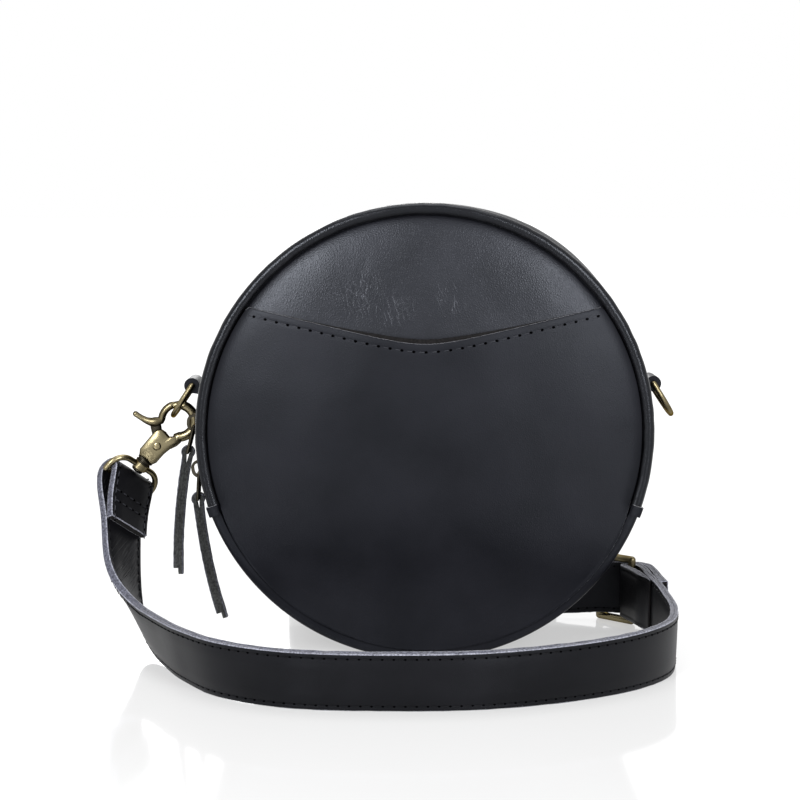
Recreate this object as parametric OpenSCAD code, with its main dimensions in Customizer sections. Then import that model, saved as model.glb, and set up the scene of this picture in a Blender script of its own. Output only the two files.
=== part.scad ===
// Round leather shoulder bag standing on its flattened foot, with a zip over the top,
// a front slip pocket, two ring tabs, two trigger hooks and a two-piece buckled strap.
// Millimetres, +Z up, +Y to the back. The origin is on the floor under the body's centre.

/* [Body] */
// Outer radius of the round body over the edge piping
bag_r = 102; // [96:1:110]
// How far the body's own weight flattens the foot
foot_flat = 2.5; // [1.5:0.5:3]
// Depth of the body over the front and back piping
bag_depth = 70; // [66:1:76]
// Thickness of the outer leather
leather_t = 1.6; // [1.2:0.1:1.8]
// Thickness of the cloth lining
lining_t = 0.8; // [0.5:0.1:0.9]
// Radius of the covered edge piping
piping_r = 2.7; // [2.4:0.1:3]
// Radius of the cord inside the piping
piping_cord_r = 1.2; // [0.8:0.1:1.5]
// Width of the flat binding along the lower edge
binding_w = 4; // [3:0.5:5]
// How far the front and back panels bulge at the centre
panel_bulge = 3.5; // [2:0.5:5]
// Arc of the body that the bottom gusset covers, in degrees
bottom_arc = 142; // [136:1:146]

/* [Front pocket] */
// Height of the pocket mouth's lowest point above the floor
mouth_h = 140; // [132:1:146]
// How steeply the mouth rises to each side, as a share of the sideways way
mouth_rise_share = 0.24; // [0.15:0.01:0.3]
// Half-width of the mouth's soft middle
mouth_soft = 13; // [8:1:18]
// Gap between the pocket and the panel behind it, at the centre
pocket_gap = 6.8; // [6.3:0.1:8]

/* [Zip] */
// Half the slit between the two rows of teeth
teeth_gap = 0.7; // [0.6:0.05:0.8]
// Width of one row of teeth
teeth_w = 2.7; // [2.4:0.1:2.9]
// Height of the teeth across the tape
teeth_h = 3.2; // [2.8:0.1:3.4]
// Thickness of the zip tape
tape_t = 0.8; // [0.5:0.1:0.9]
// Distance from the middle of the zip to the gusset leather's edge
gusset_edge = 7; // [6.5:0.5:9]
// Length of a slider's body along the zip
slider_l = 18; // [15:1:19]
// Width of a slider's body
slider_w = 11; // [10.4:0.1:11.4]
// Thickness of a slider's upper and lower wings
wing_t = 1.3; // [1:0.1:1.5]
// Angle of the upper slider round the body, from the right
slider_upper_at = 179.2; // [178:0.1:179.5]
// Angle of the lower slider round the body, from the right
slider_lower_at = 190.9; // [190.8:0.1:191.5]
// Length of a pull's link between the middles of its end wires
link_l = 12.3; // [11:0.1:13]
// Radius of the link's wire
link_wire_r = 0.8; // [0.6:0.05:0.9]
// Length of a leather pull below its eye
thong_l = 57; // [45:1:60]
// Thickness of a leather pull, two layers together
thong_t = 4.5; // [4:0.1:4.8]
// Width of a leather pull's strip
thong_w = 4.2; // [3.4:0.2:4.2]

/* [Ring tabs] */
// Radius of a D-ring's wire
ring_wire_r = 1.3; // [1:0.05:1.4]
// Clear width inside a D-ring
ring_inner_w = 20; // [18:0.5:22]
// Distance from a D-ring's bar to its round end, between wire middles
ring_reach = 17.5; // [15:0.5:19]
// Outer radius of the leather loop round a D-ring's bar
tab_loop_r = 3.6; // [3.2:0.1:3.8]
// Length of a ring tab's sewn tail along the gusset
tab_tail_l = 20; // [14:1:24]

/* [Trigger hooks] */
// Radius of the middle of a hook's ring
jaw_r = 7.6; // [7.4:0.1:8]
// Radius of a hook's ring wire
jaw_wire_r = 2.1; // [1.8:0.1:2.2]
// Radius of the wire of a hook's gate
gate_wire_r = 1.3; // [1:0.1:1.5]
// Thickness of a hook's body
hook_t = 4.6; // [4.2:0.1:5.4]
// Radius of a hook's rivet
rivet_r = 1.5; // [1.2:0.1:1.7]
// Radius of a hook's swivel post
post_r = 1.8; // [1.4:0.1:2]
// Radius of the wire of a hook's strap eye
eye_wire_r = 1.4; // [1.2:0.1:1.5]

/* [Strap] */
// Width of the strap
strap_w = 25; // [22:0.5:25]
// Thickness of the strap, two sewn layers together
strap_t = 3.4; // [2.4:0.1:3.5]
// Length of the folded flap behind the hook's eye
flap_l = 28; // [20:1:32]
// Radius of the buckle's wire
buckle_wire_r = 1.75; // [1.4:0.05:1.8]
// Height of the buckle frame
buckle_h = 33; // [32:0.5:35]
// Radius of the buckle's prong
prong_r = 1.2; // [0.9:0.1:1.3]
// Radius of a strap hole
strap_hole_r = 1.8; // [1.4:0.1:2.2]
// Distance between the middles of two strap holes
strap_hole_pitch = 12; // [10:1:14]
// Number of strap holes behind the buckle
strap_hole_count = 4; // [2:1:4]

/* [Hidden] */

// Facets of round shapes and the one overrun of every cut
round_fn = 96;
small_fn = 32;
over = 1;
// Gap between two pieces that only lie against each other
lie_gap = 0.1;
// Gap between two pieces that move past each other
move_gap = 0.3;
// Play of a bore round its pin
bore_play = 0.08;
half_turn = 180;
full_turn = 360;
right_angle = 90;

centre_h = bag_r - foot_flat;
half_depth = bag_depth / 2;
piping_mid_r = bag_r - piping_r;
piping_mid_z = half_depth - piping_r;
gusset_out_r = bag_r - over;
gusset_in_r = gusset_out_r - leather_t;
gusset_half_w = piping_mid_z - piping_r - lie_gap;
lining_out_r = gusset_in_r - lie_gap;
lining_in_r = lining_out_r - lining_t;
panel_r = piping_mid_r - piping_r - lie_gap * 2;
panel_face_z = half_depth - leather_t - move_gap;
panel_steps = 10;
zip_start = bottom_arc / 2 - right_angle;
zip_end = half_turn - zip_start;
cord_play = 0.05;

// Front pocket
pocket_face_z = half_depth;
pocket_bulge = panel_bulge + pocket_gap - move_gap;
mouth_steps = 16;

// Zip, from the inside out
tape_out_r = gusset_in_r - lie_gap;
tape_in_r = tape_out_r - tape_t;
tape_w = 15;
teeth_mid_r = (tape_out_r + tape_in_r) / 2 + 0.4;
teeth_out_r = teeth_mid_r + teeth_h / 2;
teeth_in_r = teeth_mid_r - teeth_h / 2;
teeth_edge = teeth_gap + teeth_w;
zip_lining_out_r = tape_in_r - lie_gap;
zip_lining_in_r = zip_lining_out_r - lining_t;
zip_lining_edge = 8;
slider_arc = slider_l / gusset_out_r * half_turn / PI;
wing_out_in_r = max(teeth_out_r, tape_out_r) + move_gap;
wing_out_r = wing_out_in_r + wing_t;
wing_in_out_r = teeth_in_r - move_gap;
wing_in_r = wing_in_out_r - wing_t;
flange_edge = teeth_edge + 0.4;
web_half = teeth_gap - move_gap - 0.05;
bail_w = 2.4;
bail_wire = 1.3;
bail_hole_r = 2.1;
bail_hole_half_l = 0.6;
bail_hole_out = wing_out_r + 0.9 + bail_hole_r;
pivot_down = bail_hole_half_l + bail_hole_r - link_wire_r - move_gap;
end_tab_arc = 5;
end_tab_gap_arc = 0.5;
end_tab_half_w = 12;
end_tab_t = 1.4;
link_half_w = 4;
upper_link_tilt = 13.7;
lower_link_tilt = 3.3;
upper_thong_tilt = 11;
lower_thong_tilt = -5;
upper_thong_bend = 12;
lower_thong_bend = 12.5;
thong_steps = 12;
thong_layer = thong_t / 2;
thong_eye_in = link_wire_r + bore_play;
thong_eye_out = thong_eye_in + thong_layer;

// Ring tabs and D-rings
ring_y = 19.5;
tab_w = ring_inner_w - 1;
tab_left_x = -107.5;
tab_left_z = 117;
tab_right_x = 106.5;
tab_right_z = 118;
tab_left_r = norm([tab_left_x, tab_left_z - centre_h]);
tab_right_r = norm([tab_right_x, tab_right_z - centre_h]);
tab_left_at = atan2(tab_left_z - centre_h, tab_left_x);
tab_right_at = atan2(tab_right_z - centre_h, tab_right_x);
tab_tail_t = 3.2;
neck_over = 0.4;
ring_left_turn = 236.6;
ring_right_turn = -57.9;
ring_bend_r = ring_inner_w / 2 + ring_wire_r;

// Hooks, in the plane of their ring: u runs from the ring's middle to the eye
hook_left_at = [-114.9, ring_y, 99.6];
hook_left_turn = 130.46;
eye_left_roll = -36;
eye_rear_roll = right_angle;
gate_mid_r = jaw_r + 0.3;
gate_from = 50;
gate_to = 118;
gate_lip_to = 156;
nose_from = 122;
jaw_to = 318;
groove_low = 1.2;
body_start = 8;
body_end = 24;
body_top = 5.3;
body_low = 4.8;
slot_w = 2.6;
arm_t = 1.2;
rivet_u = 15.4;
rivet_head_r = rivet_r + 0.8;
rivet_head_t = 0.7;
arm_boss_r = 3;
lever_from = [8.2, 8.4];
lever_to = [10.5, 18.1];
gate_out_r = gate_mid_r + gate_wire_r;
gate_reach = norm([rivet_u - gate_out_r * cos(gate_to), gate_out_r * sin(gate_to)]);
spring_r = rivet_r + 0.9;
spring_gap = 0.1;
bar_share = 0.94;
collar_r = 3.8;
collar_l = 2.1;
eye_boss_r = 3.6;
eye_boss_l = 3;
head_r = 3;
head_l = 1.5;
eye_bar_u = 37.5;
eye_inner_w = 25.4;
eye_corner_r = 7.5;
eye_boss_u = body_end + collar_l + move_gap + eye_boss_l / 2;
post_end_u = eye_boss_u + eye_boss_l / 2 + move_gap + head_l;

// Strap routes: the middle of the strap, then the way to its upper or near edge.
// First piece, from the left hook's eye round the front to the buckle.
FRONT_ROUTE = [
    [-139.2, 19.5, 71.1, -0.62, -0.59, 0.52],
    [-140.5, 9, 58, -0.58, -0.60, 0.55],
    [-139.5, -2, 45, -0.54, -0.60, 0.59],
    [-137, -14, 32, -0.50, -0.52, 0.70],
    [-131.5, -27, 21, -0.38, -0.42, 0.82],
    [-123.5, -43, 14.5, -0.26, -0.36, 0.89],
    [-114, -64, 12.7, -0.18, -0.32, 0.93],
    [-102, -90, 12.7, -0.12, -0.28, 0.95],
    [-84, -116, 12.7, -0.04, -0.25, 0.97],
    [-56, -133, 12.7, 0, -0.23, 0.97],
    [-20, -138, 12.7, 0, -0.23, 0.97],
    [20, -136, 12.7, 0, -0.22, 0.97],
    [56, -123, 12.7, 0, -0.20, 0.98],
    [84, -104, 12.7, 0.04, -0.14, 0.99],
    [102, -80, 12.7, 0.05, -0.05, 1],
    [108.5, -53, 13, 0.03, 0, 1],
    [109, -26, 14, 0, 0, 1],
    [107.5, -6, 15.5, 0, 0, 1],
    [104.5, 14, 16.5, 0, 0, 1],
    [100, 32, 16.5, 0, 0, 1]];
// Second piece, from its tip through the buckle to the first run behind the bag.
TIP_ROUTE = [
    [110.9, -4, 15.5, 0, 0, 1],
    [109.6, 8, 16.2, 0, 0, 1],
    [109, 21, 16.5, 0, 0, 1],
    [107.4, 34, 16.5, 0, 0, 1],
    [101, 40.3, 16.5, 0, 0, 1],
    [93.8, 41.6, 16.5, 0, 0, 1],
    [84, 43.2, 16.5, 0, 0, 1],
    [72, 45.5, 15.5, 0, 0, 1],
    [50, 49.5, 13.5, 0, 0, 1],
    [31, 50, 12.7, 0, 0, 1]];
front_ring_steps = 3;
tip_ring_steps = 3;
coil_steps = 12;
fold_steps = 8;
coil_mid_y = 93;
coil_left_x = -25;
coil_right_x = 31;
coil_r = 43;
coil_draw_in = 4.75;
coil_last_r = 17;
coil_h = 12.7;
coil_r_2 = coil_r - coil_draw_in;
coil_r_3 = coil_r_2 - coil_draw_in;
coil_last_y = coil_mid_y - coil_r_3 + coil_last_r;
coil_end_x = 5;
coil_end_h = 15.6;
coil_end_y = coil_last_y + coil_last_r;
hook_rear_at = [coil_end_x + eye_bar_u, coil_end_y, coil_end_h];
strap_edge = 0.6;
fold_gap = 0.4;
fold_offset = eye_wire_r + fold_gap + strap_t / 2;
buckle_fold_offset = buckle_wire_r + fold_gap + strap_t / 2;
fold_tail_l = 26;
buckle_at = [100, 32, 16.5];
buckle_turn = 132.8;
buckle_l = 20.3;
prong_slot_h = 4;
prong_slot_l = 14;
prong_slot_from = 1.5;
prong_lift = buckle_wire_r + bore_play + prong_r + lie_gap;
prong_eye_share = 1.6;

// Colours of the leather, the raw edges, the cloth and the old brass
leather_c = [0.12, 0.125, 0.14];
edge_c = [0.32, 0.33, 0.38];
cloth_c = [0.2, 0.2, 0.22];
brass_c = [0.5, 0.42, 0.24];
dark_brass_c = [0.28, 0.24, 0.15];

// Body in its own frame: local X to the right, local Y up, local Z to the front
module drum() translate([0, 0, centre_h]) rotate([right_angle, 0, 0]) children();
module back() mirror([0, 0, 1]) children();

// A band round the body between two radii, two depths and two angles
module band(r_in, r_out, z_from, z_to, a_from, a_to) {
    rotate([0, 0, a_from])
        rotate_extrude(angle = a_to - a_from, $fn = round_fn)
            translate([r_in, z_from])
                square([r_out - r_in, z_to - z_from]);
}

// Keeps what is above a height over the floor, in the body's frame
module above_floor(h = 0) {
    difference() {
        children();
        translate([-bag_r * 2, -centre_h - bag_r, -bag_depth * 2])
            cube([bag_r * 4, bag_r + h, bag_depth * 4]);
    }
}

function dome(r, face_z, bulge) = face_z + bulge * (1 - pow(r / panel_r, 2));

// A round sheet that bulges at its middle: t is its thickness
module domed_sheet(face_z, bulge, t) {
    outer = [for (i = [0 : panel_steps])
        let (r = panel_r * i / panel_steps) [r, dome(r, face_z, bulge)]];
    inner = [for (i = [panel_steps : -1 : 0])
        let (r = panel_r * i / panel_steps) [r, dome(r, face_z, bulge) - t]];
    rotate_extrude($fn = round_fn) polygon(concat(outer, inner));
}

module panel() color(leather_c) domed_sheet(panel_face_z, panel_bulge, leather_t);
module front_panel() drum() panel();
module back_panel() drum() back() panel();

module panel_lining() {
    color(cloth_c)
        domed_sheet(panel_face_z - leather_t - lie_gap, panel_bulge, lining_t);
}
module front_lining() drum() panel_lining();
module back_lining() drum() back() panel_lining();

function mouth_y(x) = mouth_h - centre_h
    + mouth_rise_share * (sqrt(x * x + mouth_soft * mouth_soft) - mouth_soft);

module front_pocket() {
    mouth_line = [for (i = [0 : mouth_steps])
        let (x = bag_r * (2 * i / mouth_steps - 1)) [x, mouth_y(x)]];
    mouth_top = [[bag_r, bag_r + over], [-bag_r, bag_r + over]];
    color(leather_c) drum() difference() {
        domed_sheet(pocket_face_z, pocket_bulge, leather_t);
        translate([0, 0, half_depth / 2])
            linear_extrude(bag_depth)
                polygon(concat(mouth_line, mouth_top));
    }
}

// Piping over the zip's part of the edge, flat binding over the rest
module piping_tube(r) {
    rotate([0, 0, zip_start])
        rotate_extrude(angle = zip_end - zip_start, $fn = round_fn)
            translate([piping_mid_r, piping_mid_z])
                circle(r = r, $fn = small_fn);
}
module piping() {
    color(leather_c) difference() {
        piping_tube(piping_r);
        piping_tube(piping_cord_r + cord_play);
    }
}
module front_piping() drum() piping();
module back_piping() drum() back() piping();
module front_piping_cord() drum() color(cloth_c) piping_tube(piping_cord_r);
module back_piping_cord() drum() back() color(cloth_c) piping_tube(piping_cord_r);

module binding() {
    color(leather_c) above_floor()
        band(bag_r - binding_w - over, bag_r, half_depth - binding_w - over + lie_gap * 2,
            half_depth, zip_end, full_turn + zip_start);
}
module front_binding() drum() binding();
module back_binding() drum() back() binding();

// Band of the bottom, with a flat sole where the foot is flattened
module soled_band(r_in, r_out, half_w, sole_from, sole_t) {
    sole_half_w = half_w - lie_gap;
    above_floor(sole_from) union() {
        band(r_in, r_out, -half_w, half_w, zip_end, full_turn + zip_start);
        translate([0, 0, -sole_half_w]) intersection() {
            cylinder(r = (r_in + r_out) / 2, h = sole_half_w * 2, $fn = round_fn);
            translate([-bag_r, sole_from + sole_t - centre_h - bag_r, -over])
                cube([bag_r * 2, bag_r, half_w * 2 + over * 2]);
        }
    }
}
module bottom_gusset() {
    color(leather_c) drum()
        soled_band(gusset_in_r, gusset_out_r, gusset_half_w, 0, leather_t);
}
module bottom_lining() {
    color(cloth_c) drum()
        soled_band(lining_in_r, lining_out_r, gusset_half_w, leather_t + lie_gap, lining_t);
}

module zip_band(r_in, r_out, z_from, z_to) {
    drum() band(r_in, r_out, z_from, z_to, zip_start, zip_end);
}
module zip_gusset_front() {
    color(leather_c) zip_band(gusset_in_r, gusset_out_r, gusset_edge, gusset_half_w);
}
module zip_gusset_back() {
    color(leather_c) zip_band(gusset_in_r, gusset_out_r, -gusset_half_w, -gusset_edge);
}
module zip_lining_front() {
    color(cloth_c)
        zip_band(zip_lining_in_r, zip_lining_out_r, zip_lining_edge, gusset_half_w);
}
module zip_lining_back() {
    color(cloth_c)
        zip_band(zip_lining_in_r, zip_lining_out_r, -gusset_half_w, -zip_lining_edge);
}
module zip_tape_front() color(cloth_c) zip_band(tape_in_r, tape_out_r, teeth_edge, tape_w);
module zip_tape_back() color(cloth_c) zip_band(tape_in_r, tape_out_r, -tape_w, -teeth_edge);
module zip_teeth_front() {
    color(dark_brass_c) zip_band(teeth_in_r, teeth_out_r, teeth_gap, teeth_edge);
}
module zip_teeth_back() {
    color(dark_brass_c) zip_band(teeth_in_r, teeth_out_r, -teeth_edge, -teeth_gap);
}

// Leather tabs over the two ends of the zip
module zip_end_tab(a) {
    color(leather_c) drum()
        band(gusset_out_r, gusset_out_r + end_tab_t, -end_tab_half_w, end_tab_half_w,
            a, a + end_tab_arc);
}
module zip_end_tab_left() zip_end_tab(zip_end + end_tab_gap_arc);
module zip_end_tab_right() zip_end_tab(zip_start - end_tab_gap_arc - end_tab_arc);

// A pin along the body's depth, in the plane seen from the front
module cross_pin(r, l) cylinder(r = r, h = l, center = true, $fn = small_fn);
module rod(a, b, r) {
    way = b - a;
    translate(a)
        rotate([0, acos(way[2] / norm(way)), atan2(way[1], way[0])])
            cylinder(r = r, h = norm(way), $fn = small_fn);
}
module capsule(a, b, r) {
    rod(a, b, r);
    translate(a) sphere(r = r, $fn = small_fn);
    translate(b) sphere(r = r, $fn = small_fn);
}

// Slider of the zip: two wings joined by a web, with a bail for the pull's link
module bail() {
    outer_r = bail_hole_r + bail_wire;
    translate([bail_hole_out, 0, 0]) difference() {
        union() {
            for (side = [-1, 1])
                translate([0, side * bail_hole_half_l, 0]) cross_pin(outer_r, bail_w);
            translate([-bail_hole_out + wing_out_r - wing_t / 2, -outer_r / 2, -bail_w / 2])
                cube([bail_hole_out - wing_out_r + wing_t / 2, outer_r, bail_w]);
            translate([-outer_r, -bail_hole_half_l, -bail_w / 2])
                cube([outer_r * 2, bail_hole_half_l * 2, bail_w]);
        }
        for (side = [-1, 1])
            translate([0, side * bail_hole_half_l, 0]) cross_pin(bail_hole_r, bail_w + over);
        translate([-bail_hole_r, -bail_hole_half_l, -bail_w])
            cube([bail_hole_r * 2, bail_hole_half_l * 2, bail_w * 2]);
        translate([-bail_hole_out, -outer_r, -bail_w])
            cube([wing_in_out_r + (wing_out_in_r - wing_in_out_r), outer_r * 2, bail_w * 2]);
    }
}
module slider(a) {
    half_arc = slider_arc / 2;
    half_w = slider_w / 2;
    color(brass_c) drum() {
        band(wing_out_in_r, wing_out_r, -half_w, half_w, a - half_arc, a + half_arc);
        band(wing_in_r, wing_in_out_r, -half_w, half_w, a - half_arc, a + half_arc);
        band(wing_in_out_r - wing_t / 2, wing_out_in_r + wing_t / 2, -web_half, web_half,
            a - half_arc / 2, a + half_arc / 2);
        for (side = [0, 1]) mirror([0, 0, side]) {
            band(tape_out_r + move_gap, wing_out_in_r, flange_edge, half_w,
                a - half_arc, a + half_arc);
            band(wing_in_out_r, tape_in_r - move_gap, flange_edge, half_w,
                a - half_arc, a + half_arc);
        }
        rotate([0, 0, a]) bail();
    }
}
module slider_upper() slider(slider_upper_at);
module slider_lower() slider(slider_lower_at);

// Places its child at a pull's pivot, with local X pointing down the link
module at_pivot(a, tilt) {
    drum() rotate([0, 0, a]) translate([bail_hole_out, pivot_down, 0])
        rotate([0, 0, -a - right_angle - tilt]) children();
}

// Edge-on link: two cross wires joined by two long wires
module pull_link() {
    side_z = link_half_w - link_wire_r;
    color(dark_brass_c) for (side = [-1, 1]) {
        capsule([0, 0, -side_z], [0, 0, side_z], link_wire_r);
        capsule([link_l, 0, -side_z], [link_l, 0, side_z], link_wire_r);
        rod([0, 0, side * side_z], [link_l, 0, side * side_z], link_wire_r);
    }
}
module link_upper() at_pivot(slider_upper_at, upper_link_tilt) pull_link();
module link_lower() at_pivot(slider_lower_at, lower_link_tilt) pull_link();

// Leather pull folded round the link's lower wire; it bends by an even arc
function thong_p(s, bend) = abs(bend) < 1 ? [s, 0]
    : let (r = thong_l / (bend * PI / half_turn), a = bend * s / thong_l)
        [r * sin(a), r * (1 - cos(a))];
function thong_n(s, bend) = let (a = bend * s / thong_l) [-sin(a), cos(a)];
module thong(bend) {
    side_a = [for (i = [0 : thong_steps])
        let (s = thong_l * i / thong_steps) thong_p(s, bend) + thong_n(s, bend) * thong_t / 2];
    side_b = [for (i = [thong_steps : -1 : 0])
        let (s = thong_l * i / thong_steps) thong_p(s, bend) - thong_n(s, bend) * thong_t / 2];
    color(leather_c) difference() {
        union() {
            cross_pin(thong_eye_out, thong_w);
            translate([0, 0, -thong_w / 2])
                linear_extrude(thong_w) polygon(concat(side_a, side_b));
        }
        cross_pin(thong_eye_in, thong_w + over);
    }
}
module at_thong(a, link_tilt, thong_tilt) {
    at_pivot(a, link_tilt) translate([link_l, 0, 0])
        rotate([0, 0, link_tilt - thong_tilt]) children();
}
module pull_thong_upper() {
    at_thong(slider_upper_at, upper_link_tilt, upper_thong_tilt) thong(upper_thong_bend);
}
module pull_thong_lower() {
    at_thong(slider_lower_at, lower_link_tilt, lower_thong_tilt) thong(lower_thong_bend);
}

// Ring tab: a loop round the D-ring's bar and a tail sewn to the back strip
module ring_tab(loop_r, a, side) {
    tail_in = gusset_out_r + lie_gap;
    tail_out = tail_in + tab_tail_t;
    tail_arc = tab_tail_l / gusset_out_r * half_turn / PI;
    bore_r = ring_wire_r + bore_play;
    neck_w = tab_loop_r * bar_share;
    color(leather_c) drum() translate([0, 0, -ring_y]) difference() {
        union() {
            rotate([0, 0, a]) translate([loop_r, 0, 0]) cross_pin(tab_loop_r, tab_w);
            band(tail_in, tail_out, -tab_w / 2, tab_w / 2,
                min(a, a + side * tail_arc), max(a, a + side * tail_arc));
            rotate([0, 0, a])
                translate([tail_in + tab_tail_t / 2, side > 0 ? -neck_over : -neck_w, -tab_w / 2])
                    cube([loop_r - tail_in - tab_tail_t / 2, neck_w + neck_over, tab_w]);
        }
        rotate([0, 0, a]) translate([loop_r, 0, 0]) cross_pin(bore_r, tab_w + over);
        cylinder(r = tail_in, h = tab_w * 2, center = true, $fn = round_fn);
    }
}
module ring_tab_left() ring_tab(tab_left_r, tab_left_at, 1);
module ring_tab_right() ring_tab(tab_right_r, tab_right_at, -1);

// D-ring with local X from its bar to its round end
module d_ring() {
    straight = ring_reach - ring_bend_r;
    color(brass_c) {
        capsule([0, 0, -ring_bend_r], [0, 0, ring_bend_r], ring_wire_r);
        for (side = [-1, 1])
            rod([0, 0, side * ring_bend_r], [straight, 0, side * ring_bend_r], ring_wire_r);
        translate([straight, 0, 0]) rotate([right_angle, 0, 0]) rotate([0, 0, -right_angle])
            rotate_extrude(angle = half_turn, $fn = round_fn)
                translate([ring_bend_r, 0]) circle(r = ring_wire_r, $fn = small_fn);
    }
}
module at_tab(x, z, turn) {
    drum() translate([x, z - centre_h, -ring_y]) rotate([0, 0, turn]) children();
}
module d_ring_left() at_tab(tab_left_x, tab_left_z, ring_left_turn) d_ring();
module d_ring_right() at_tab(tab_right_x, tab_right_z, ring_right_turn) d_ring();

// A round wire along an arc in the hook's plane
module wire_arc(mid_r, wire_r, a_from, a_to) {
    rotate([0, 0, a_from])
        rotate_extrude(angle = a_to - a_from, $fn = round_fn)
            translate([mid_r, 0]) circle(r = wire_r, $fn = small_fn);
}

// Trigger hook: fixed jaw, slotted body, collar, swivel post and its head
module hook_body() {
    jaw_end = [jaw_r * cos(jaw_to), jaw_r * sin(jaw_to), 0];
    plate = [
        [body_start, -jaw_wire_r], [body_start + move_gap, body_low],
        [body_start + jaw_wire_r, body_top], [body_end - jaw_wire_r, body_top],
        [body_end, collar_r], [body_end, -collar_r], [body_end - jaw_wire_r, -body_low],
        [rivet_u - arm_boss_r / 2, -body_low], [body_start, -body_low - jaw_wire_r],
        [jaw_end[0], jaw_end[1] - jaw_wire_r + lie_gap],
        [jaw_end[0] + lie_gap, jaw_end[1] + jaw_wire_r - lie_gap]];
    color(brass_c) difference() {
        union() {
            wire_arc(jaw_r, jaw_wire_r, nose_from, jaw_to);
            translate([0, 0, -hook_t / 2]) linear_extrude(hook_t) polygon(plate);
            rotate([0, right_angle, 0]) {
                translate([0, 0, body_end - over])
                    cylinder(r = collar_r, h = collar_l + over, $fn = small_fn);
                translate([0, 0, body_end])
                    cylinder(r = post_r, h = post_end_u - body_end, $fn = small_fn);
                translate([0, 0, post_end_u - head_l])
                    cylinder(r = head_r, h = head_l, $fn = small_fn);
            }
        }
        cross_pin(jaw_r - jaw_wire_r, hook_t + over);
        intersection() {
            translate([rivet_u, 0, 0])
                cylinder(r = gate_reach + move_gap, h = hook_t * 2, center = true, $fn = round_fn);
            translate([-jaw_r * 2, -groove_low, -hook_t])
                cube([jaw_r * 2, jaw_r * 2, hook_t * 2]);
        }
        translate([rivet_u, 0, 0]) cross_pin(rivet_r + bore_play, hook_t + over);
        translate([body_start - over, -arm_boss_r - move_gap, -slot_w / 2])
            cube([rivet_u + arm_boss_r - body_start + over + move_gap,
                body_top + arm_boss_r + move_gap + over, slot_w]);
    }
}

// Flat bar between two places in the hook's plane, a little narrower than its ends
module flat_bar(a, b, half_w, t) {
    way = b - a;
    n = [-way[1], way[0]] / norm(way) * half_w * bar_share;
    translate([0, 0, -t / 2]) linear_extrude(t) polygon([a - n, b - n, b + n, a + n]);
}

// Sprung gate: the ring's moving arc, a thumb lever and an arm on the rivet.
// Its end is cut round about the rivet, so that it swings inwards past the jaw.
module hook_gate() {
    gate_end = gate_mid_r * [cos(gate_from), sin(gate_from)];
    plate_t = gate_wire_r * 2;
    arm = [
        lever_from - [gate_wire_r / 2, gate_wire_r / 2],
        lever_from + [gate_wire_r / 2, 0],
        [rivet_u + arm_boss_r * 0.7, arm_boss_r * 0.6],
        [rivet_u - arm_boss_r * 0.6, -arm_boss_r * 0.7],
        [body_start + gate_wire_r, body_start / 4]];
    color(brass_c) difference() {
        union() {
            intersection() {
                band(gate_mid_r - gate_wire_r, gate_out_r, -gate_wire_r, gate_wire_r,
                    gate_from, gate_lip_to);
                translate([rivet_u, 0, 0])
                    cylinder(r = gate_reach, h = hook_t, center = true, $fn = round_fn);
            }
            flat_bar(gate_end, lever_from, gate_wire_r, plate_t);
            flat_bar(lever_from, lever_to, gate_wire_r, plate_t);
            for (q = [lever_from, lever_to])
                translate([q[0], q[1], 0]) cross_pin(gate_wire_r, plate_t);
            translate([0, 0, -arm_t / 2]) linear_extrude(arm_t) polygon(arm);
            translate([rivet_u, 0, 0]) cross_pin(arm_boss_r, arm_t);
        }
        translate([rivet_u, 0, 0]) cross_pin(rivet_r + bore_play, hook_t);
    }
}

module hook_rivet() {
    color(brass_c) translate([rivet_u, 0, 0]) {
        cross_pin(rivet_r, hook_t);
        for (side = [-1, 1]) translate([0, 0, side * (hook_t + rivet_head_t) / 2])
            cross_pin(rivet_head_r, rivet_head_t);
    }
}

// Torsion spring round the rivet, in a pocket between the arm and one cheek
module hook_spring() {
    spring_wire_r = (slot_w - arm_t) / 4 - spring_gap;
    color(dark_brass_c)
        translate([rivet_u, 0, arm_t / 2 + (slot_w - arm_t) / 4])
            rotate_extrude($fn = small_fn)
                translate([spring_r, 0]) circle(r = spring_wire_r, $fn = small_fn);
}

// Strap eye: a D-shaped wire frame on a boss that turns on the swivel post
module hook_eye(roll) {
    half_w = eye_inner_w / 2 + eye_wire_r;
    shoulder_u = eye_boss_u + eye_corner_r;
    color(brass_c) rotate([roll, 0, 0]) difference() {
        union() {
            translate([eye_boss_u, 0, 0]) rotate([0, right_angle, 0])
                cylinder(r = eye_boss_r, h = eye_boss_l, center = true, $fn = small_fn);
            rod([eye_boss_u, -half_w + eye_corner_r, 0], [eye_boss_u, half_w - eye_corner_r, 0],
                eye_wire_r);
            for (side = [-1, 1]) {
                translate([shoulder_u, side * (half_w - eye_corner_r), 0])
                    rotate([0, 0, side > 0 ? right_angle : half_turn])
                        rotate_extrude(angle = right_angle, $fn = round_fn)
                            translate([eye_corner_r, 0]) circle(r = eye_wire_r, $fn = small_fn);
                rod([shoulder_u, side * half_w, 0], [eye_bar_u, side * half_w, 0], eye_wire_r);
            }
            capsule([eye_bar_u, -half_w, 0], [eye_bar_u, half_w, 0], eye_wire_r);
        }
        translate([eye_boss_u, 0, 0]) rotate([0, right_angle, 0])
            cylinder(r = post_r + bore_play, h = eye_boss_l + over, center = true, $fn = small_fn);
    }
}

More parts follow.
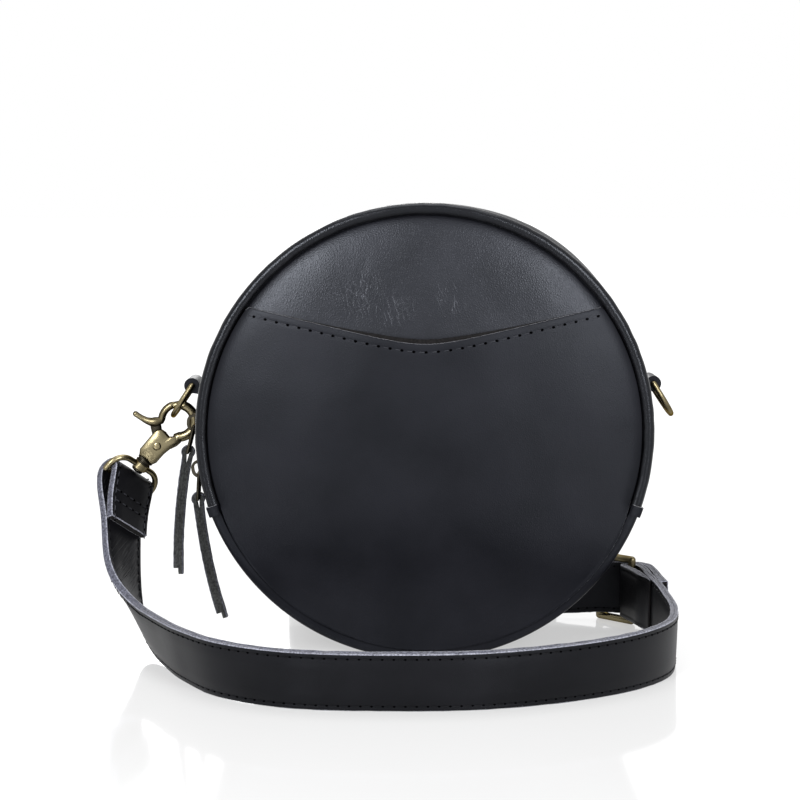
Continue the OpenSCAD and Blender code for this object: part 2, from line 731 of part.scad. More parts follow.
module at_hook_left() translate(hook_left_at) rotate([-right_angle, hook_left_turn, 0]) children();
module at_hook_rear() translate(hook_rear_at) rotate([0, half_turn, 0]) children();
module hook_left_body() at_hook_left() hook_body();
module hook_left_gate() at_hook_left() hook_gate();
module hook_left_rivet() at_hook_left() hook_rivet();
module hook_left_spring() at_hook_left() hook_spring();
module hook_left_eye() at_hook_left() hook_eye(eye_left_roll);
module hook_rear_body() at_hook_rear() hook_body();
module hook_rear_gate() at_hook_rear() hook_gate();
module hook_rear_rivet() at_hook_rear() hook_rivet();
module hook_rear_spring() at_hook_rear() hook_spring();
module hook_rear_eye() at_hook_rear() hook_eye(eye_rear_roll);

// A smooth line through hand-set points of any size
function curve(p, steps) = concat(
    [for (i = [0 : len(p) - 2]) for (k = [0 : steps - 1])
        let (t = k / steps, b = p[i], c = p[i + 1],
            a = i > 0 ? p[i - 1] : 2 * b - c,
            d = i < len(p) - 2 ? p[i + 2] : 2 * c - b)
        b + ((c - a) * t + (2 * a - 5 * b + 4 * c - d) * t * t
            + (3 * b - a - 3 * c + d) * t * t * t) / 2],
    [p[len(p) - 1]]);
function place(r) = [r[0], r[1], r[2]];
function unit(v) = v / norm(v);
function run(r, i) = unit(place(r[min(i + 1, len(r) - 1)]) - place(r[max(i - 1, 0)]));
// Frame of a strap at ring i: its middle, its width way and its outer way
function ring_frame(r, i) = let (t = run(r, i), w = [r[i][3], r[i][4], r[i][5]],
    across = unit(w - t * (w * t))) [place(r[i]), across, cross(t, across), t];
function frames(r) = [for (i = [0 : len(r) - 1]) ring_frame(r, i)];
function line_len(r, i = 0) = i >= len(r) - 1 ? 0
    : norm(place(r[i + 1]) - place(r[i])) + line_len(r, i + 1);
function so_far(r, n) = n == 0 ? 0
    : norm(place(r[n]) - place(r[n - 1])) + so_far(r, n - 1);
// Moves each frame outwards by a distance that fades to zero over a length
function ease(s, l) = s >= l ? 0 : s <= 0 ? 1 : (1 + cos(half_turn * s / l)) / 2;

strap_half_w = strap_w / 2;
strap_half_t = strap_t / 2;
STRAP_SECTION = [
    [strap_half_w, strap_half_t - strap_edge], [strap_half_w - strap_edge, strap_half_t],
    [-strap_half_w + strap_edge, strap_half_t], [-strap_half_w, strap_half_t - strap_edge],
    [-strap_half_w, -strap_half_t + strap_edge], [-strap_half_w + strap_edge, -strap_half_t],
    [strap_half_w - strap_edge, -strap_half_t], [strap_half_w, -strap_half_t + strap_edge]];

// The strap along a list of frames, each with its own shift to the outer side
module strap_sweep(f, shifts) {
    n = len(STRAP_SECTION);
    points = [for (i = [0 : len(f) - 1]) for (q = STRAP_SECTION)
        f[i][0] + f[i][1] * q[0] + f[i][2] * (q[1] + shifts[i])];
    sides = [for (i = [0 : len(f) - 2]) for (k = [0 : n - 1])
        let (a = i * n + k, b = i * n + (k + 1) % n)
        each [[a, b, a + n], [b, b + n, a + n]]];
    first = [for (k = [1 : n - 2]) [0, k + 1, k]];
    last_at = (len(f) - 1) * n;
    last = [for (k = [1 : n - 2]) [last_at, last_at + k, last_at + k + 1]];
    polyhedron(points = points, faces = concat(sides, first, last));
}

front_line = curve(FRONT_ROUTE, front_ring_steps);
front_len = line_len(front_line);
front_frames = frames(front_line);
front_shifts = [for (i = [0 : len(front_line) - 1])
    let (s = so_far(front_line, i))
    fold_offset * ease(s, flap_l) + buckle_fold_offset * ease(front_len - s, fold_tail_l)];
module strap_front() {
    color(leather_c) difference() {
        strap_sweep(front_frames, front_shifts);
        prong_slot();
    }
}

// Frames of a half-round fold about a bar at a frame, from its outer to its inner side
function fold_frames(f, offset, forward) = [for (i = [0 : fold_steps])
    let (a = half_turn * i / fold_steps, out = f[2] * cos(a) + f[3] * forward * sin(a))
    [f[0] + out * offset, f[1] * forward, out]];
// Frames of the layer that lies on the inner side, away from the fold
function inner_frames(f, offset, forward) = [for (q = f)
    [q[0] - q[2] * offset, q[1] * forward, -q[2]]];
module fold_sweep(f) strap_sweep(f, [for (q = f) 0]);

module strap_fold_left() {
    kept = [for (i = [1 : len(front_line) - 1]) if (so_far(front_line, i) <= flap_l)
        front_frames[i]];
    color(leather_c) fold_sweep(concat(fold_frames(front_frames[0], fold_offset, -1),
        inner_frames(kept, fold_offset, -1)));
}
module strap_fold_buckle() {
    last = len(front_line) - 1;
    kept = [for (i = [last - 1 : -1 : 0])
        if (front_len - so_far(front_line, i) <= fold_tail_l) front_frames[i]];
    color(leather_c) difference() {
        fold_sweep(concat(fold_frames(front_frames[last], buckle_fold_offset, 1),
            inner_frames(kept, buckle_fold_offset, 1)));
        prong_slot();
    }
}

// Buckle frame: local X from the heel bar to the far bar, local Z up
module at_buckle() translate(buckle_at) rotate([0, 0, buckle_turn]) children();
// Slot through the fold, where the prong's eye turns on the heel bar
module prong_slot() {
    at_buckle() cylinder(r = buckle_fold_offset + strap_half_t + lie_gap, h = prong_slot_h,
        center = true, $fn = small_fn);
}
module buckle_frame() {
    half_h = buckle_h / 2 - buckle_wire_r;
    color(brass_c) at_buckle() {
        for (x = [0, buckle_l])
            capsule([x, 0, -half_h], [x, 0, half_h], buckle_wire_r);
        for (side = [-1, 1])
            rod([0, 0, side * half_h], [buckle_l, 0, side * half_h], buckle_wire_r);
    }
}
module buckle_prong() {
    lift_y = -prong_lift;
    prong_tip = [buckle_l, lift_y - move_gap, 0];
    color(brass_c) at_buckle() {
        difference() {
            union() {
                cylinder(r = prong_lift + prong_r / 2, h = prong_r * prong_eye_share, center = true, $fn = small_fn);
                rod([0, lift_y, 0], prong_tip, prong_r);
                translate(prong_tip) sphere(r = prong_r, $fn = small_fn);
            }
            cylinder(r = buckle_wire_r + bore_play, h = buckle_h, center = true, $fn = small_fn);
        }
    }
}

// Second piece: its tip through the buckle, with the holes behind it
tip_line = curve(TIP_ROUTE, tip_ring_steps);
module strap_tip() {
    tip_frames = frames(tip_line);
    last_hole = TIP_ROUTE[len(TIP_ROUTE) - 2];
    color(leather_c) difference() {
        strap_sweep(tip_frames, [for (f = tip_frames) 0]);
        at_buckle() translate([prong_slot_from, -prong_slot_l, -prong_slot_h / 2])
            cube([prong_slot_l, prong_slot_l * 2, prong_slot_h]);
        for (i = [0 : strap_hole_count - 1])
            translate([last_hole[0] - strap_hole_pitch + i * strap_hole_pitch, last_hole[1],
                    last_hole[2]])
                rotate([right_angle, 0, 0])
                    cylinder(r = strap_hole_r, h = strap_t * 4, center = true, $fn = small_fn);
    }
}

// Rest of the second piece: a flat coil behind the bag, drawn in at a steady rate.
// Each half turn is an arc about the left or right middle whose radius falls evenly.
function half_coil(x, y, r_from, r_to, side, h_to = coil_h) = [for (i = [0 : coil_steps])
    let (a = half_turn * i / coil_steps, r = r_from + (r_to - r_from) * i / coil_steps)
    [x + side * r * sin(a), y + side * r * cos(a), coil_h + (h_to - coil_h) * i / coil_steps,
        0, 0, 1]];
coil_start = TIP_ROUTE[len(TIP_ROUTE) - 1];
coil_run_steps = 4;
coil_line = concat(
    [coil_start],
    half_coil(coil_left_x, coil_mid_y, coil_r, coil_r_2, -1),
    half_coil(coil_right_x, coil_mid_y, coil_r_2, coil_r_3, 1),
    half_coil(coil_left_x, coil_last_y, coil_last_r, coil_last_r, -1, coil_end_h),
    [for (i = [1 : coil_run_steps])
        [coil_left_x + (coil_end_x - coil_left_x) * i / coil_run_steps, coil_end_y, coil_end_h,
            0, 0, 1]]);
coil_len = line_len(coil_line);
coil_frames = frames(coil_line);
coil_shifts = [for (i = [0 : len(coil_line) - 1])
    fold_offset * ease(coil_len - so_far(coil_line, i), flap_l)];
module strap_coil() color(leather_c) strap_sweep(coil_frames, coil_shifts);
module strap_fold_rear() {
    last = len(coil_line) - 1;
    kept = [for (i = [last - 1 : -1 : 0])
        if (coil_len - so_far(coil_line, i) <= flap_l) coil_frames[i]];
    color(leather_c) fold_sweep(concat(fold_frames(coil_frames[last], fold_offset, 1),
        inner_frames(kept, fold_offset, 1)));
}

// Least gap of the coil to itself, over points more than a strap width apart along it
coil_gap = min([for (i = [0 : len(coil_line) - 1]) for (k = [i + 1 : 1 : len(coil_line) - 1])
    if (so_far(coil_line, k) - so_far(coil_line, i) > strap_w * 2)
        norm(place(coil_line[k]) - place(coil_line[i]))]) - strap_t;
echo(first_piece_length = front_len, tip_length = line_len(tip_line), coil_length = coil_len,
    coil_least_gap = coil_gap);

front_panel();
front_pocket();
back_panel();
front_piping();
back_piping();
front_piping_cord();
back_piping_cord();
front_binding();
back_binding();
bottom_gusset();
bottom_lining();
zip_gusset_front();
zip_gusset_back();
zip_lining_front();
zip_lining_back();
front_lining();
back_lining();
zip_tape_front();
zip_tape_back();
zip_teeth_front();
zip_teeth_back();
zip_end_tab_left();
zip_end_tab_right();
ring_tab_left();
ring_tab_right();
d_ring_left();
d_ring_right();
slider_upper();
slider_lower();
link_upper();
link_lower();
pull_thong_upper();
pull_thong_lower();
hook_left_body();
hook_left_gate();
hook_left_rivet();
hook_left_spring();
hook_left_eye();
hook_rear_body();
hook_rear_gate();
hook_rear_rivet();
hook_rear_spring();
hook_rear_eye();
strap_front();
strap_fold_left();
strap_fold_buckle();
strap_tip();
strap_coil();
strap_fold_rear();
buckle_frame();
buckle_prong();
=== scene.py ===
"""Looks of a round leather shoulder bag: leather, stitching, zip, brass and strap."""
from math import atan2, cos, degrees, dist, exp, hypot, pi, radians, sin, sqrt

import bmesh
import bpy
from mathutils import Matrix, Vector, noise


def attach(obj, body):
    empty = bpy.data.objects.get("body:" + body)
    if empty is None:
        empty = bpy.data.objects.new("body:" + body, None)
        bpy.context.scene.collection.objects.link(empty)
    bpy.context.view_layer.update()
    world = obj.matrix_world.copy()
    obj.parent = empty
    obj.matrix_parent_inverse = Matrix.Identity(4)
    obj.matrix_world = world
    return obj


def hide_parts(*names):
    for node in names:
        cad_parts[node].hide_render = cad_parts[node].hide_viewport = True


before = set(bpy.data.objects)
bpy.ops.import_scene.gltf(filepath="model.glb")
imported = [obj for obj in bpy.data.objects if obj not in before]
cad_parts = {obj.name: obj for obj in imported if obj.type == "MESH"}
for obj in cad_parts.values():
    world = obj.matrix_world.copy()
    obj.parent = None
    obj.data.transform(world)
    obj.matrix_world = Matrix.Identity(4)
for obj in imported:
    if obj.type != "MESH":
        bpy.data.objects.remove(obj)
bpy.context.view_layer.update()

# Driving dimensions in millimetres, as the solids have them
MM = 0.001
CENTRE_H = 99.5
PANEL_R = 96.4
PANEL_FACE = 33.1
PANEL_BULGE = 3.5
POCKET_FACE = 35.0
POCKET_BULGE = 10.0
LEATHER_T = 1.6
MOUTH_H = 140.0
MOUTH_RISE_SHARE = 0.24
MOUTH_SOFT = 13.0
PIPING_R = 2.7
PIPING_MID_R = 99.3
PIPING_MID_Y = 32.3
GUSSET_OUT_R = 101.0
GUSSET_IN_R = 99.4
GUSSET_EDGE = 7.0
GUSSET_HALF_W = 29.5
ZIP_FROM = -19.0
ZIP_TO = 199.0
STRAP_W = 25.0
STRAP_T = 3.4
FLAP_L = 28.0
FOLD_TAIL_L = 26.0
BUCKLE_TAIL_L = 36.0
FOLD_OFFSET = 3.5
BUCKLE_FOLD_OFFSET = 3.85
RING_Y = 19.5

# Materials; lengths in them are in metres unless their names say mm
PATCH_SCALE = 28.0
SKIN_SCALE = 1500.0
SKIN_DEPTH = 0.00006
FIBRE_SCALE = 1100.0
FIBRE_DEPTH = 0.0003
WEAVE_DEPTH = 0.0001
PATINA_SCALE = 95.0
SCRATCH_SCALE = 2400.0
SCRATCH_DEPTH = 0.00002
CREASE_WIDTH = 0.07
COOL_TINT = (0.84, 0.89, 1.0, 1.0)
WARM_TINT = (0.32, 0.27, 0.2, 1.0)
# Painted shade on the sides of a cast hook, away from its broad faces
SIDE_SHADE = (0.12, 0.115, 0.105)
WHITE = (1.0, 1.0, 1.0)


def node_material(name):
    material = bpy.data.materials.new(name)
    material.use_nodes = True
    tree = material.node_tree
    return material, tree, tree.nodes["Principled BSDF"]


def fill(tree, node, values):
    """Links a socket to the input of that name, or sets a plain value on input or node."""
    for key, value in values.items():
        if key not in node.inputs:
            setattr(node, key, value)
        elif isinstance(value, bpy.types.NodeSocket):
            tree.links.new(value, node.inputs[key])
        else:
            node.inputs[key].default_value = value


def add_node(tree, kind, **values):
    node = tree.nodes.new(kind)
    fill(tree, node, values)
    return node


def object_coords(tree):
    return tree.nodes.new("ShaderNodeTexCoord").outputs["Object"]


def noise_node(tree, coords, scale, detail=3.0):
    noise_texture = add_node(tree, "ShaderNodeTexNoise", Scale=scale, Detail=detail, Vector=coords)
    return noise_texture.outputs["Fac"]


def ramp_node(tree, source, low, high, low_color, high_color):
    node = add_node(tree, "ShaderNodeValToRGB", Fac=source)
    first, second = node.color_ramp.elements
    first.position = low
    first.color = (*low_color, 1.0)
    second.position = high
    second.color = (*high_color, 1.0)
    return node.outputs["Color"]


def bump_node(tree, height, distance, strength, before=None, invert=False):
    node = add_node(tree, "ShaderNodeBump", Height=height, Distance=distance,
                    Strength=strength, invert=invert)
    if before is not None:
        tree.links.new(before, node.inputs["Normal"])
    return node.outputs["Normal"]


def range_node(tree, source, low, high, source_high=1.0):
    """Maps a source that runs from 0 to source_high on to low to high."""
    node = add_node(tree, "ShaderNodeMapRange", Value=source,
                    **{"From Max": source_high, "To Min": low, "To Max": high})
    return node.outputs["Result"]


def math_node(tree, operation, *values):
    node = add_node(tree, "ShaderNodeMath", operation=operation)
    for socket, value in zip(node.inputs, values):
        if isinstance(value, bpy.types.NodeSocket):
            tree.links.new(value, socket)
        else:
            socket.default_value = value
    return node.outputs["Value"]


def crease_lines(tree, coords, before, spots, tilt, apart_mm, long_mm, depth_mm):
    """Fine crease lines near a few places; a spot is (place in mm, reach in mm)."""
    turned = add_node(tree, "ShaderNodeMapping", vector_type="TEXTURE", Vector=coords,
                      Rotation=(0.0, radians(tilt), 0.0),
                      Scale=(apart_mm * MM, 4 * long_mm * MM, long_mm * MM))
    waves = noise_node(tree, turned.outputs["Vector"], 1.0, 1.5)
    off_middle = math_node(tree, "ABSOLUTE", math_node(tree, "SUBTRACT", waves, 0.5))
    line = range_node(tree, off_middle, 1.0, 0.0, CREASE_WIDTH)
    near = None
    for place, reach in spots:
        away = add_node(tree, "ShaderNodeVectorMath", operation="DISTANCE")
        tree.links.new(coords, away.inputs[0])
        away.inputs[1].default_value = [c * MM for c in place]
        here = range_node(tree, away.outputs["Value"], 1.0, 0.0, reach * MM)
        near = here if near is None else math_node(tree, "MAXIMUM", near, here)
    groove = math_node(tree, "MULTIPLY", near, line)
    return bump_node(tree, groove, depth_mm * MM, 0.8, before, invert=True)


def leather(name, dark, light, rough, grain_mm=0.55, grain=0.12, gloss_level=0.12, creased=None):
    """Coated leather: fine cells, soft unevenness and a slightly changing gloss."""
    material, tree, shader = node_material(name)
    coords = object_coords(tree)
    patches = noise_node(tree, coords, PATCH_SCALE)
    fine = noise_node(tree, coords, SKIN_SCALE, 4.0)
    cells = add_node(tree, "ShaderNodeTexVoronoi", feature="DISTANCE_TO_EDGE",
                     Scale=1.0 / (grain_mm * MM), Vector=coords)
    pores = bump_node(tree, cells.outputs["Distance"], grain_mm * MM * 0.35, grain)
    skin = bump_node(tree, fine, SKIN_DEPTH, 0.5, pores)
    if creased:
        skin = crease_lines(tree, coords, skin, **creased)
    fill(tree, shader, {
        "Base Color": ramp_node(tree, patches, 0.35, 0.68, dark, light),
        "Roughness": range_node(tree, patches, rough - 0.06, rough + 0.08),
        "Normal": skin,
        "Specular IOR Level": gloss_level,
        "Specular Tint": COOL_TINT})
    return material


def raw_edge(name, dark, light, sheen=0.25):
    """Cut leather edge: short fuzzy fibres, matt."""
    material, tree, shader = node_material(name)
    fibres = noise_node(tree, object_coords(tree), FIBRE_SCALE, 6.0)
    fill(tree, shader, {
        "Base Color": ramp_node(tree, fibres, 0.32, 0.68, dark, light),
        "Normal": bump_node(tree, fibres, FIBRE_DEPTH, 0.7),
        "Roughness": 0.95,
        "Specular IOR Level": 0.15,
        "Sheen Weight": sheen})
    return material


def cloth(name, color, weave_mm):
    """Plain weave: two crossed sets of threads, with painted shade in the gaps and a painted
    highlight on their tops.
    """
    material, tree, shader = node_material(name)
    coords = object_coords(tree)
    threads = [add_node(tree, "ShaderNodeTexWave", bands_direction=direction,
                        Scale=0.3 / (weave_mm * MM), Vector=coords).outputs["Fac"]
               for direction in ("X", "Y")]
    height = math_node(tree, "MAXIMUM", *threads)
    lit = tuple(min(1.0, c * 1.8) for c in color)
    fill(tree, shader, {
        "Base Color": ramp_node(tree, height, 0.2, 0.9, color, lit),
        "Normal": bump_node(tree, height, WEAVE_DEPTH, 0.5),
        "Roughness": 0.9,
        "Sheen Weight": 0.2})
    return material


def aged_metal(name, dark, light, rough, facing=None):
    """Antique brass: brown patina in soft patches over brighter worn metal.

    A cast piece gets painted shade on the sides that turn away from the given axis, and stays
    bright only where it faces along it.
    """
    material, tree, shader = node_material(name)
    place = tree.nodes.new("ShaderNodeTexCoord")
    patina = noise_node(tree, place.outputs["Object"], PATINA_SCALE, 2.0)
    scratches = noise_node(tree, place.outputs["Object"], SCRATCH_SCALE, 6.0)
    color = ramp_node(tree, patina, 0.3, 0.62, dark, light)
    if facing:
        parts = add_node(tree, "ShaderNodeSeparateXYZ", Vector=place.outputs["Normal"])
        # Painted shade, darker as the surface turns away from the given axis
        turned = math_node(tree, "ABSOLUTE", parts.outputs[facing])
        side_shade = ramp_node(tree, turned, 0.4, 0.96, SIDE_SHADE, WHITE)
        mixed = add_node(tree, "ShaderNodeMix", data_type="RGBA", blend_type="MULTIPLY",
                         Factor=1.0, A=color, B=side_shade)
        color = mixed.outputs["Result"]
    fill(tree, shader, {
        "Base Color": color,
        "Roughness": range_node(tree, patina, rough + 0.16, rough - 0.06),
        "Normal": bump_node(tree, scratches, SCRATCH_DEPTH, 0.2),
        "Metallic": 1.0,
        "Specular Tint": WARM_TINT})
    return material


BODY_LEATHER = leather("body_leather", (0.0034, 0.0036, 0.0052), (0.0066, 0.0068, 0.0094), 0.37,
                       grain_mm=0.9, grain=0.14, gloss_level=0.16)
PANEL_LEATHER = leather("panel_leather", (0.0048, 0.005, 0.0068), (0.0095, 0.0098, 0.013), 0.335,
                        grain_mm=1.0, grain=0.3, gloss_level=0.3,
                        creased={"spots": [((-27, -38, 161), 13), ((-14, -38, 155), 12),
                                           ((11, -38, 160), 9)],
                                 "tilt": -18.0, "apart_mm": 3.0, "long_mm": 11.0,
                                 "depth_mm": 0.16})
PIPING_LEATHER = leather("piping_leather", (0.0015, 0.0015, 0.002), (0.0045, 0.0045, 0.0055), 0.22,
                         grain_mm=0.9, grain=0.28, gloss_level=0.24)
STRAP_LEATHER = leather("strap_leather", (0.004, 0.004, 0.0048), (0.007, 0.007, 0.0085), 0.4,
                        grain_mm=0.7,
                        creased={"spots": [((-137, -15, 33), 26)], "tilt": 35.0, "apart_mm": 2.2,
                                 "long_mm": 14.0, "depth_mm": 0.35})
THONG_LEATHER = raw_edge("thong_leather", (0.014, 0.0145, 0.0145), (0.058, 0.06, 0.06))
SUEDE_EDGE = raw_edge("suede_edge", (0.018, 0.019, 0.028), (0.15, 0.155, 0.2))
LIGHT_EDGE = raw_edge("light_edge", (0.1, 0.103, 0.125), (0.38, 0.39, 0.46))
# Dark cut edges, made darker still so the band at the pocket's mouth shows as painted shade of the
# gap behind it
CUT_EDGE_AND_SHADE = raw_edge("cut_edge_and_mouth_shade", (0.0025, 0.0023, 0.0025), (0.01, 0.009, 0.0095), sheen=0.04)
RIM_EDGE = raw_edge("rim_edge", (0.16, 0.163, 0.18), (0.38, 0.385, 0.42))
LINING = cloth("lining_cloth", (0.02, 0.02, 0.023), 0.5)
TAPE = cloth("zip_tape", (0.008, 0.008, 0.01), 0.35)
THREAD = leather("thread", (0.002, 0.002, 0.0025), (0.008, 0.008, 0.009), 0.6, 0.3, 0.4)
PALE_THREAD = leather("pale_thread", (0.02, 0.02, 0.024), (0.05, 0.052, 0.06), 0.6, 0.3, 0.4)
# Matt near-black discs that stand for the painted shade inside needle holes
HOLE_SHADE = leather("needle_hole_shade", (0.0003, 0.0003, 0.0004), (0.0008, 0.0008, 0.001), 0.9,
               gloss_level=0.0)
BRASS = aged_metal("antique_brass", (0.105, 0.088, 0.05), (0.235, 0.2, 0.118), 0.24)
DARK_BRASS = aged_metal("dark_brass", (0.012, 0.0105, 0.008), (0.06, 0.054, 0.04), 0.28)
# The hooks' brass carries painted shade on the sides of each piece
HOOK_BRASS = {side: aged_metal(side + "_hook_brass", (0.085, 0.072, 0.042),
                               (0.205, 0.176, 0.106), 0.23, facing=facing)
              for side, facing in (("left", "Y"), ("rear", "Z"))}


# Mesh helpers; points are in millimetres, in the frame's axes
def add_object(name, points, faces, body, materials, indices=None, sharp=40.0, merge=0.0):
    """A smooth mesh that rides on a body, with edges past the angle sharp kept sharp."""
    mesh = bpy.data.meshes.new(name)
    mesh.from_pydata([Vector(p) * MM for p in points], [], faces)
    for material in materials:
        mesh.materials.append(material)
    if indices is not None:
        mesh.polygons.foreach_set("material_index", indices)
    work = bmesh.new()
    work.from_mesh(mesh)
    if merge:
        bmesh.ops.remove_doubles(work, verts=work.verts, dist=merge)
    bmesh.ops.recalc_face_normals(work, faces=work.faces)
    work.to_mesh(mesh)
    work.free()
    mesh.polygons.foreach_set("use_smooth", [True] * len(mesh.polygons))
    mesh.set_sharp_from_angle(angle=radians(sharp))
    obj = bpy.data.objects.new(name, mesh)
    bpy.context.scene.collection.objects.link(obj)
    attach(obj, body)
    return obj


def stand_for(obj, slot, *nodes):
    """Hides the solids that a piece stands for."""
    if nodes:
        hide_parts(*nodes)


def dress(material, *nodes):
    for name in nodes:
        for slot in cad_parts[name].material_slots:
            slot.material = material


def wander(p, size, amount, seed=0.0):
    """A soft, repeatable unevenness at a place."""
    return amount * noise.noise(Vector(p) / size + Vector((seed, seed * 0.7, -seed)))


def turns(sides):
    """The angles of a full turn in equal steps."""
    return [2 * pi * k / sides for k in range(sides)]


def add_skin(points, faces, rings):
    """Adds a skin over rings of points of one size, closed at both ends."""
    start = len(points)
    sides = len(rings[0])
    for ring in rings:
        points += ring
    for i in range(len(rings) - 1):
        for k in range(sides):
            a = start + i * sides + k
            b = start + i * sides + (k + 1) % sides
            faces.append((a, b, b + sides, a + sides))
    last = start + (len(rings) - 1) * sides
    faces += [tuple(range(start, start + sides)), tuple(range(last, last + sides))]


def skin_object(name, rings, body, materials, indices=None, sharp=40.0):
    points, faces = [], []
    add_skin(points, faces, rings)
    return add_object(name, points, faces, body, materials, indices, sharp)


def on_drum(angle, r, y):
    """A point at an angle round the body, kept above the floor."""
    a = radians(angle)
    return Vector((r * cos(a), y, max(0.0, CENTRE_H + r * sin(a))))


def stitch_place(angle, r, y):
    """A stitch's point on the drum, the way round it and the way out of it."""
    a = radians(angle)
    return (on_drum(angle, r, y), Vector((-sin(a), 0, cos(a))),
            Vector((cos(a), 0, sin(a))))


def drum_sweep(name, profile, a_from, a_to, materials, inner=0, steps=220, swell=None):
    """Sweeps a closed (r, y) outline round the body.

    The outline's first side takes the material numbered inner, and both ends the last one.
    """
    rings = []
    for i in range(steps + 1):
        angle = a_from + (a_to - a_from) * i / steps
        rings.append([on_drum(angle, r + (swell(angle, r, y) if swell else 0.0), y)
                      for r, y in profile])
    indices = ([inner] + [0] * (len(profile) - 1)) * steps + [len(materials) - 1] * 2
    return skin_object(name, rings, "bag", materials, indices)


def circle_outline(mid_r, mid_y, radius, sides=20):
    return [(mid_r + radius * cos(a), mid_y + radius * sin(a)) for a in turns(sides)]


# A thread's rings: share of its length, width and lift as shares of its radius
THREAD_RINGS = ((-0.5, 0.45, -0.5), (-0.25, 0.95, 0.15), (0.25, 0.95, 0.15), (0.5, 0.45, -0.5))
THREAD_SIDES = 6
# A dark disc of painted shade at each needle hole; its rings: lift in millimetres and width as a
# share of its radius
HOLE_SHADE_RINGS = ((-0.2, 1.0), (0.1, 0.9), (0.12, 0.3))
HOLE_SHADE_SIDES = 8
HOLE_SHADE_STRETCH = 1.3
HOLE_SHADE_AHEAD = 0.66


def stitches(name, places, material, length, radius, hole_shade_r=0.0):
    """Short threads lying on a surface, with a dark disc of painted shade at each needle hole when
    a radius is given for it; a place is (point, along, normal).
    """
    points, faces, indices = [], [], []
    for place, along, normal in places:
        across = along.cross(normal).normalized()
        rings = []
        for share, width, lift in THREAD_RINGS:
            middle = place + along * length * share + normal * radius * lift
            rings.append([middle + (across * cos(a) + normal * sin(a)) * radius * width
                          for a in turns(THREAD_SIDES)])
        add_skin(points, faces, rings)
        indices += [0] * (len(faces) - len(indices))
        if hole_shade_r:
            middle = place + along * length * HOLE_SHADE_AHEAD
            add_skin(points, faces, [
                [middle + normal * lift
                 + (across * cos(a) + along * HOLE_SHADE_STRETCH * sin(a)) * hole_shade_r * wide
                 for a in turns(HOLE_SHADE_SIDES)] for lift, wide in HOLE_SHADE_RINGS])
            indices += [1] * (len(faces) - len(indices))
    return add_object(name, points, faces, "bag", [material, HOLE_SHADE], indices)


TUBE_END_ANGLES = (0.25, 0.6, 1.0, 1.3)


def tube(name, path, radii, body, material, normal, sides=16, flat=1.0):
    """Round bar along a path with rounded ends; flat squeezes it along normal."""
    first = (path[0] - path[1]).normalized()
    final = (path[-1] - path[-2]).normalized()
    stations = [(path[0] + first * radii[0] * cos(q), -first, radii[0] * sin(q))
                for q in TUBE_END_ANGLES]
    for i, place in enumerate(path):
        ahead = (path[min(i + 1, len(path) - 1)] - path[max(i - 1, 0)]).normalized()
        stations.append((place, ahead, radii[i]))
    stations += [(path[-1] + final * radii[-1] * cos(q), final, radii[-1] * sin(q))
                 for q in reversed(TUBE_END_ANGLES)]
    rings = []
    for place, ahead, radius in stations:
        side = ahead.cross(normal).normalized()
        rings.append([place + side * radius * cos(a) + normal * radius * flat * sin(a)
                      for a in turns(sides)])
    return skin_object(name, rings, body, [material], sharp=60.0)


def lathe(name, spot, profile, body, material, sides, sharp):
    """Turned piece; profile is (height, radius), spot places a height and two offsets."""
    rings = [[spot(height, radius * cos(a), radius * sin(a)) for a in turns(sides)]
             for height, radius in profile]
    return skin_object(name, rings, body, [material], sharp=sharp)


def join(name, parts):
    """Joins pieces of one body into one object."""
    bpy.ops.object.select_all(action="DESELECT")
    for part in parts:
        part.select_set(True)
    bpy.context.view_layer.objects.active = parts[0]
    bpy.ops.object.join()
    parts[0].name = name
    return parts[0]


# Camera, at the photograph's place
CAMERA_AT = (-0.011, -0.935, 0.203)
CAMERA_PITCH = 84.4
CAMERA_LENS = 92.1
CAMERA_SENSOR = 36.0
CAMERA_CLIP_END = 50.0
camera = bpy.data.objects.new("camera", bpy.data.cameras.new("camera"))
camera.location = CAMERA_AT
camera.rotation_euler = (radians(CAMERA_PITCH), 0.0, 0.0)
camera.data.lens = CAMERA_LENS
camera.data.sensor_width = CAMERA_SENSOR
camera.data.clip_end = CAMERA_CLIP_END
bpy.context.scene.collection.objects.link(camera)
bpy.context.scene.camera = camera

# The strap's route, as in the solids: the middle, then the way to its upper edge
FRONT_ROUTE = [
    (-139.2, 19.5, 71.1, -0.62, -0.59, 0.52),
    (-140.5, 9, 58, -0.58, -0.6, 0.55),
    (-139.5, -2, 45, -0.54, -0.6, 0.59),
    (-137, -14, 32, -0.5, -0.52, 0.7),
    (-131.5, -27, 21, -0.38, -0.42, 0.82),
    (-123.5, -43, 14.5, -0.26, -0.36, 0.89),
    (-114, -64, 12.7, -0.18, -0.32, 0.93),
    (-102, -90, 12.7, -0.12, -0.28, 0.95),
    (-84, -116, 12.7, -0.04, -0.25, 0.97),
    (-56, -133, 12.7, 0, -0.23, 0.97),
    (-20, -138, 12.7, 0, -0.23, 0.97),
    (20, -136, 12.7, 0, -0.22, 0.97),
    (56, -123, 12.7, 0, -0.2, 0.98),
    (84, -104, 12.7, 0.04, -0.14, 0.99),
    (102, -80, 12.7, 0.05, -0.05, 1),
    (108.5, -53, 13, 0.03, 0, 1),
    (109, -26, 14, 0, 0, 1),
    (107.5, -6, 15.5, 0, 0, 1),
    (104.5, 14, 16.5, 0, 0, 1),
    (100, 32, 16.5, 0, 0, 1)]
UPRIGHT = (0, 0, 1)
TIP_ROUTE = [(*place, *UPRIGHT) for place in (
    (110.9, -4, 15.5), (109.6, 8, 16.2), (109, 21, 16.5), (107.4, 34, 16.5), (101, 40.3, 16.5),
    (93.8, 41.6, 16.5), (84, 43.2, 16.5), (72, 45.5, 15.5), (50, 49.5, 13.5), (31, 50, 12.7))]
COIL_MID_Y = 93.0
COIL_LEFT_X = -25.0
